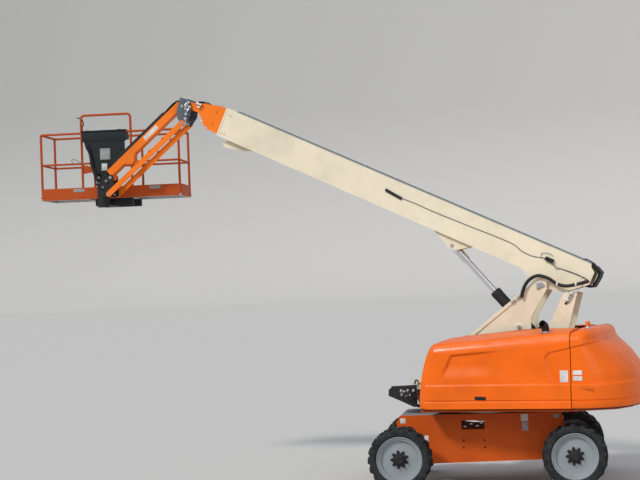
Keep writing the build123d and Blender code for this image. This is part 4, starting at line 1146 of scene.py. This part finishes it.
HOOK = ((-1.040, 1.455), (-1.040, 1.492), (-1.020, 1.515), (-0.995, 1.500), (-0.990, 1.478))
line("nose_hook", [(x, -0.300, z) for x, z in HOOK], 0.011, "turret", "black_metal")
bm = new()
for x in (-1.350, -1.200, -1.030):
    for y in (-0.46, -0.30, 0.30, 0.46):
        bolt(bm, (x, y, 1.369), "Z", 0.013, 0.014)
piece("nose_bolts", bm, "turret", "black_metal")

# Exhaust: a collar on the hood, and an elbow that turns from upright to its mouth's aim round one arc
EX, EY = 1.105, -0.950
bm = turned(new(), ((0.054, 0), (0.070, 0), (0.070, 0.006), (0.061, 0.010), (0.061, 0.022), (0.054, 0.022)),
            (EX, EY, roof_z(EX, EY) - 0.002), "Z", 40)
piece("exhaust_collar", bm, "hood_door_near", "steel", edge=0.001)
ELBOW_R = 0.054
ELBOW_WALL = 0.006
ELBOW_BEND = 0.070
CORNER_Z = 0.108
MOUTH_REACH = 0.085
ELBOW_SIDES = 36
AIM = Vector((-0.36, -0.84, 0.40)).normalized()
UP = Vector((0, 0, 1))
ACROSS = UP.cross(AIM).normalized()
TURN = UP.angle(AIM)
REACH = ELBOW_BEND * tan(TURN / 2)
FOOT = Vector((EX, EY, roof_z(EX, EY) - 0.010))
OUTWARD = ACROSS.cross(UP)
path = [(FOOT, UP)]
start = FOOT + UP * (CORNER_Z - REACH)
for k in range(11):
    a = TURN * k / 10
    place = start + UP * (ELBOW_BEND * sin(a)) + OUTWARD * (ELBOW_BEND * (1 - cos(a)))
    path.append((place, UP * cos(a) + OUTWARD * sin(a)))
path.append((path[-1][0] + AIM * (MOUTH_REACH - REACH), AIM))
bm = new()
outer = []
inner = []
for place, along in path:
    beside = along.cross(ACROSS)
    for rings, r in ((outer, ELBOW_R), (inner, ELBOW_R - ELBOW_WALL)):
        turns = [2 * pi * j / ELBOW_SIDES for j in range(ELBOW_SIDES)]
        rings.append([bm.verts.new(place + ACROSS * (r * cos(a)) + beside * (r * sin(a))) for a in turns])
tube = outer + list(reversed(inner))
for one, two in zip(tube, tube[1:] + tube[:1]):
    bridge(bm, one, two)
piece("exhaust_elbow", bm, "hood_door_near", "black_metal", hides=("exhaust",), edge=0.0015)

# Beacon: a ribbed lens on its base
BEACON = (1.672, -0.750, roof_z(1.672, -0.750) - 0.006)
bm = turned(new(), ((0, 0), (0.046, 0), (0.046, 0.010), (0.036, 0.018), (0.030, 0.036), (0, 0.036)), BEACON,
            "Z", 36)
piece("beacon_base", bm, "turret", "steel", edge=0.001)
rows = [(0.0, 0.034), (0.034, 0.034)]
for k in range(5):
    h = 0.040 + 0.012 * k
    rows += [(0.036, h), (0.033, h + 0.006)]
rows += [(0.031, 0.102), (0.022, 0.110), (0.0, 0.112)]
piece("beacon_lens", turned(new(), rows, BEACON, "Z", 40), "turret", "amber", hides=("beacon",))

# Camera at the photograph's viewing angle
CAM_POS = Vector((5.7204, -22.7557, 3.1424))
CAM_YAW = 0.34970
CAM_PITCH = 0.02239
CAM_ROLL = -0.03780
FOCAL_PX = 1560.0
PHOTO_PX = 640.0
SENSOR = 36.0


def add_camera():
    look = Vector((-sin(CAM_YAW) * cos(CAM_PITCH), cos(CAM_YAW) * cos(CAM_PITCH), sin(CAM_PITCH)))
    right = Vector((cos(CAM_YAW), sin(CAM_YAW), 0.0))
    up = right.cross(look)
    right2 = right * cos(CAM_ROLL) + up * sin(CAM_ROLL)
    up2 = -right * sin(CAM_ROLL) + up * cos(CAM_ROLL)
    data = bpy.data.cameras.new("camera")
    data.sensor_width = SENSOR
    data.lens = SENSOR * FOCAL_PX / PHOTO_PX
    data.clip_end = 500.0
    cam = added("camera", data)
    rot = Matrix((right2, up2, -look)).transposed().to_4x4()
    cam.matrix_world = Matrix.Translation(CAM_POS) @ rot
    bpy.context.scene.camera = cam


add_camera()


# A round floor that rises into the backdrop far behind the object, alike from every side
FLOOR_R = 150.0
SWEEP_R = 24.0
WALL_TOP = 40.0
STEPS = 96
profile = [(5.0, 0.0), (25.0, 0.0), (70.0, 0.0), (FLOOR_R, 0.0)]
profile += [(FLOOR_R + SWEEP_R * sin(radians(a)), SWEEP_R * (1 - cos(radians(a)))) for a in range(6, 91, 6)]
profile.append((FLOOR_R + SWEEP_R, WALL_TOP))
turns = [2 * pi * k / STEPS for k in range(STEPS)]
bm = new()
rows = [[bm.verts.new((r * cos(a), r * sin(a), z - 0.001)) for a in turns] for r, z in profile]
bm.faces.new(rows[0])
for one, two in zip(rows, rows[1:]):
    bridge(bm, two, one)
mesh = bpy.data.meshes.new("floor")
bm.to_mesh(mesh)
bm.free()
for face in mesh.polygons:
    face.use_smooth = True
ground = added("floor", mesh)
pale, _, bsdf = shader("floor_pale", 0.9, spec=0.1)
bsdf.inputs["Base Color"].default_value = (0.56, 0.555, 0.545, 1.0)
mesh.materials.append(pale)

# World and lamps
world = bpy.data.worlds.new("studio")
bpy.context.scene.world = world
world.use_nodes = True
sky = world.node_tree.nodes["Background"]
sky.inputs["Color"].default_value = (0.80, 0.84, 0.90, 1.0)
sky.inputs["Strength"].default_value = 0.65


def lamp(name, kind, energy, place, target, size=1.0, colour=(1, 1, 1)):
    data = bpy.data.lights.new(name, kind)
    data.energy = energy
    data.color = colour
    if kind == "AREA":
        data.size = size
    if kind == "SUN":
        data.angle = size
    obj = added(name, data)
    aim = (Vector(target) - Vector(place)).to_track_quat("-Z", "Y")
    obj.matrix_world = Matrix.Translation(place) @ aim.to_matrix().to_4x4()
    return obj


lamp("key", "SUN", 2.1, (-8, -14, 16), (0, 0, 2), radians(9), (1.0, 0.97, 0.92))
lamp("fill", "AREA", 500, (10, -12, 8), (0, 0, 2), 9.0, (0.92, 0.96, 1.0))

bpy.context.scene.view_settings.view_transform = "Standard"
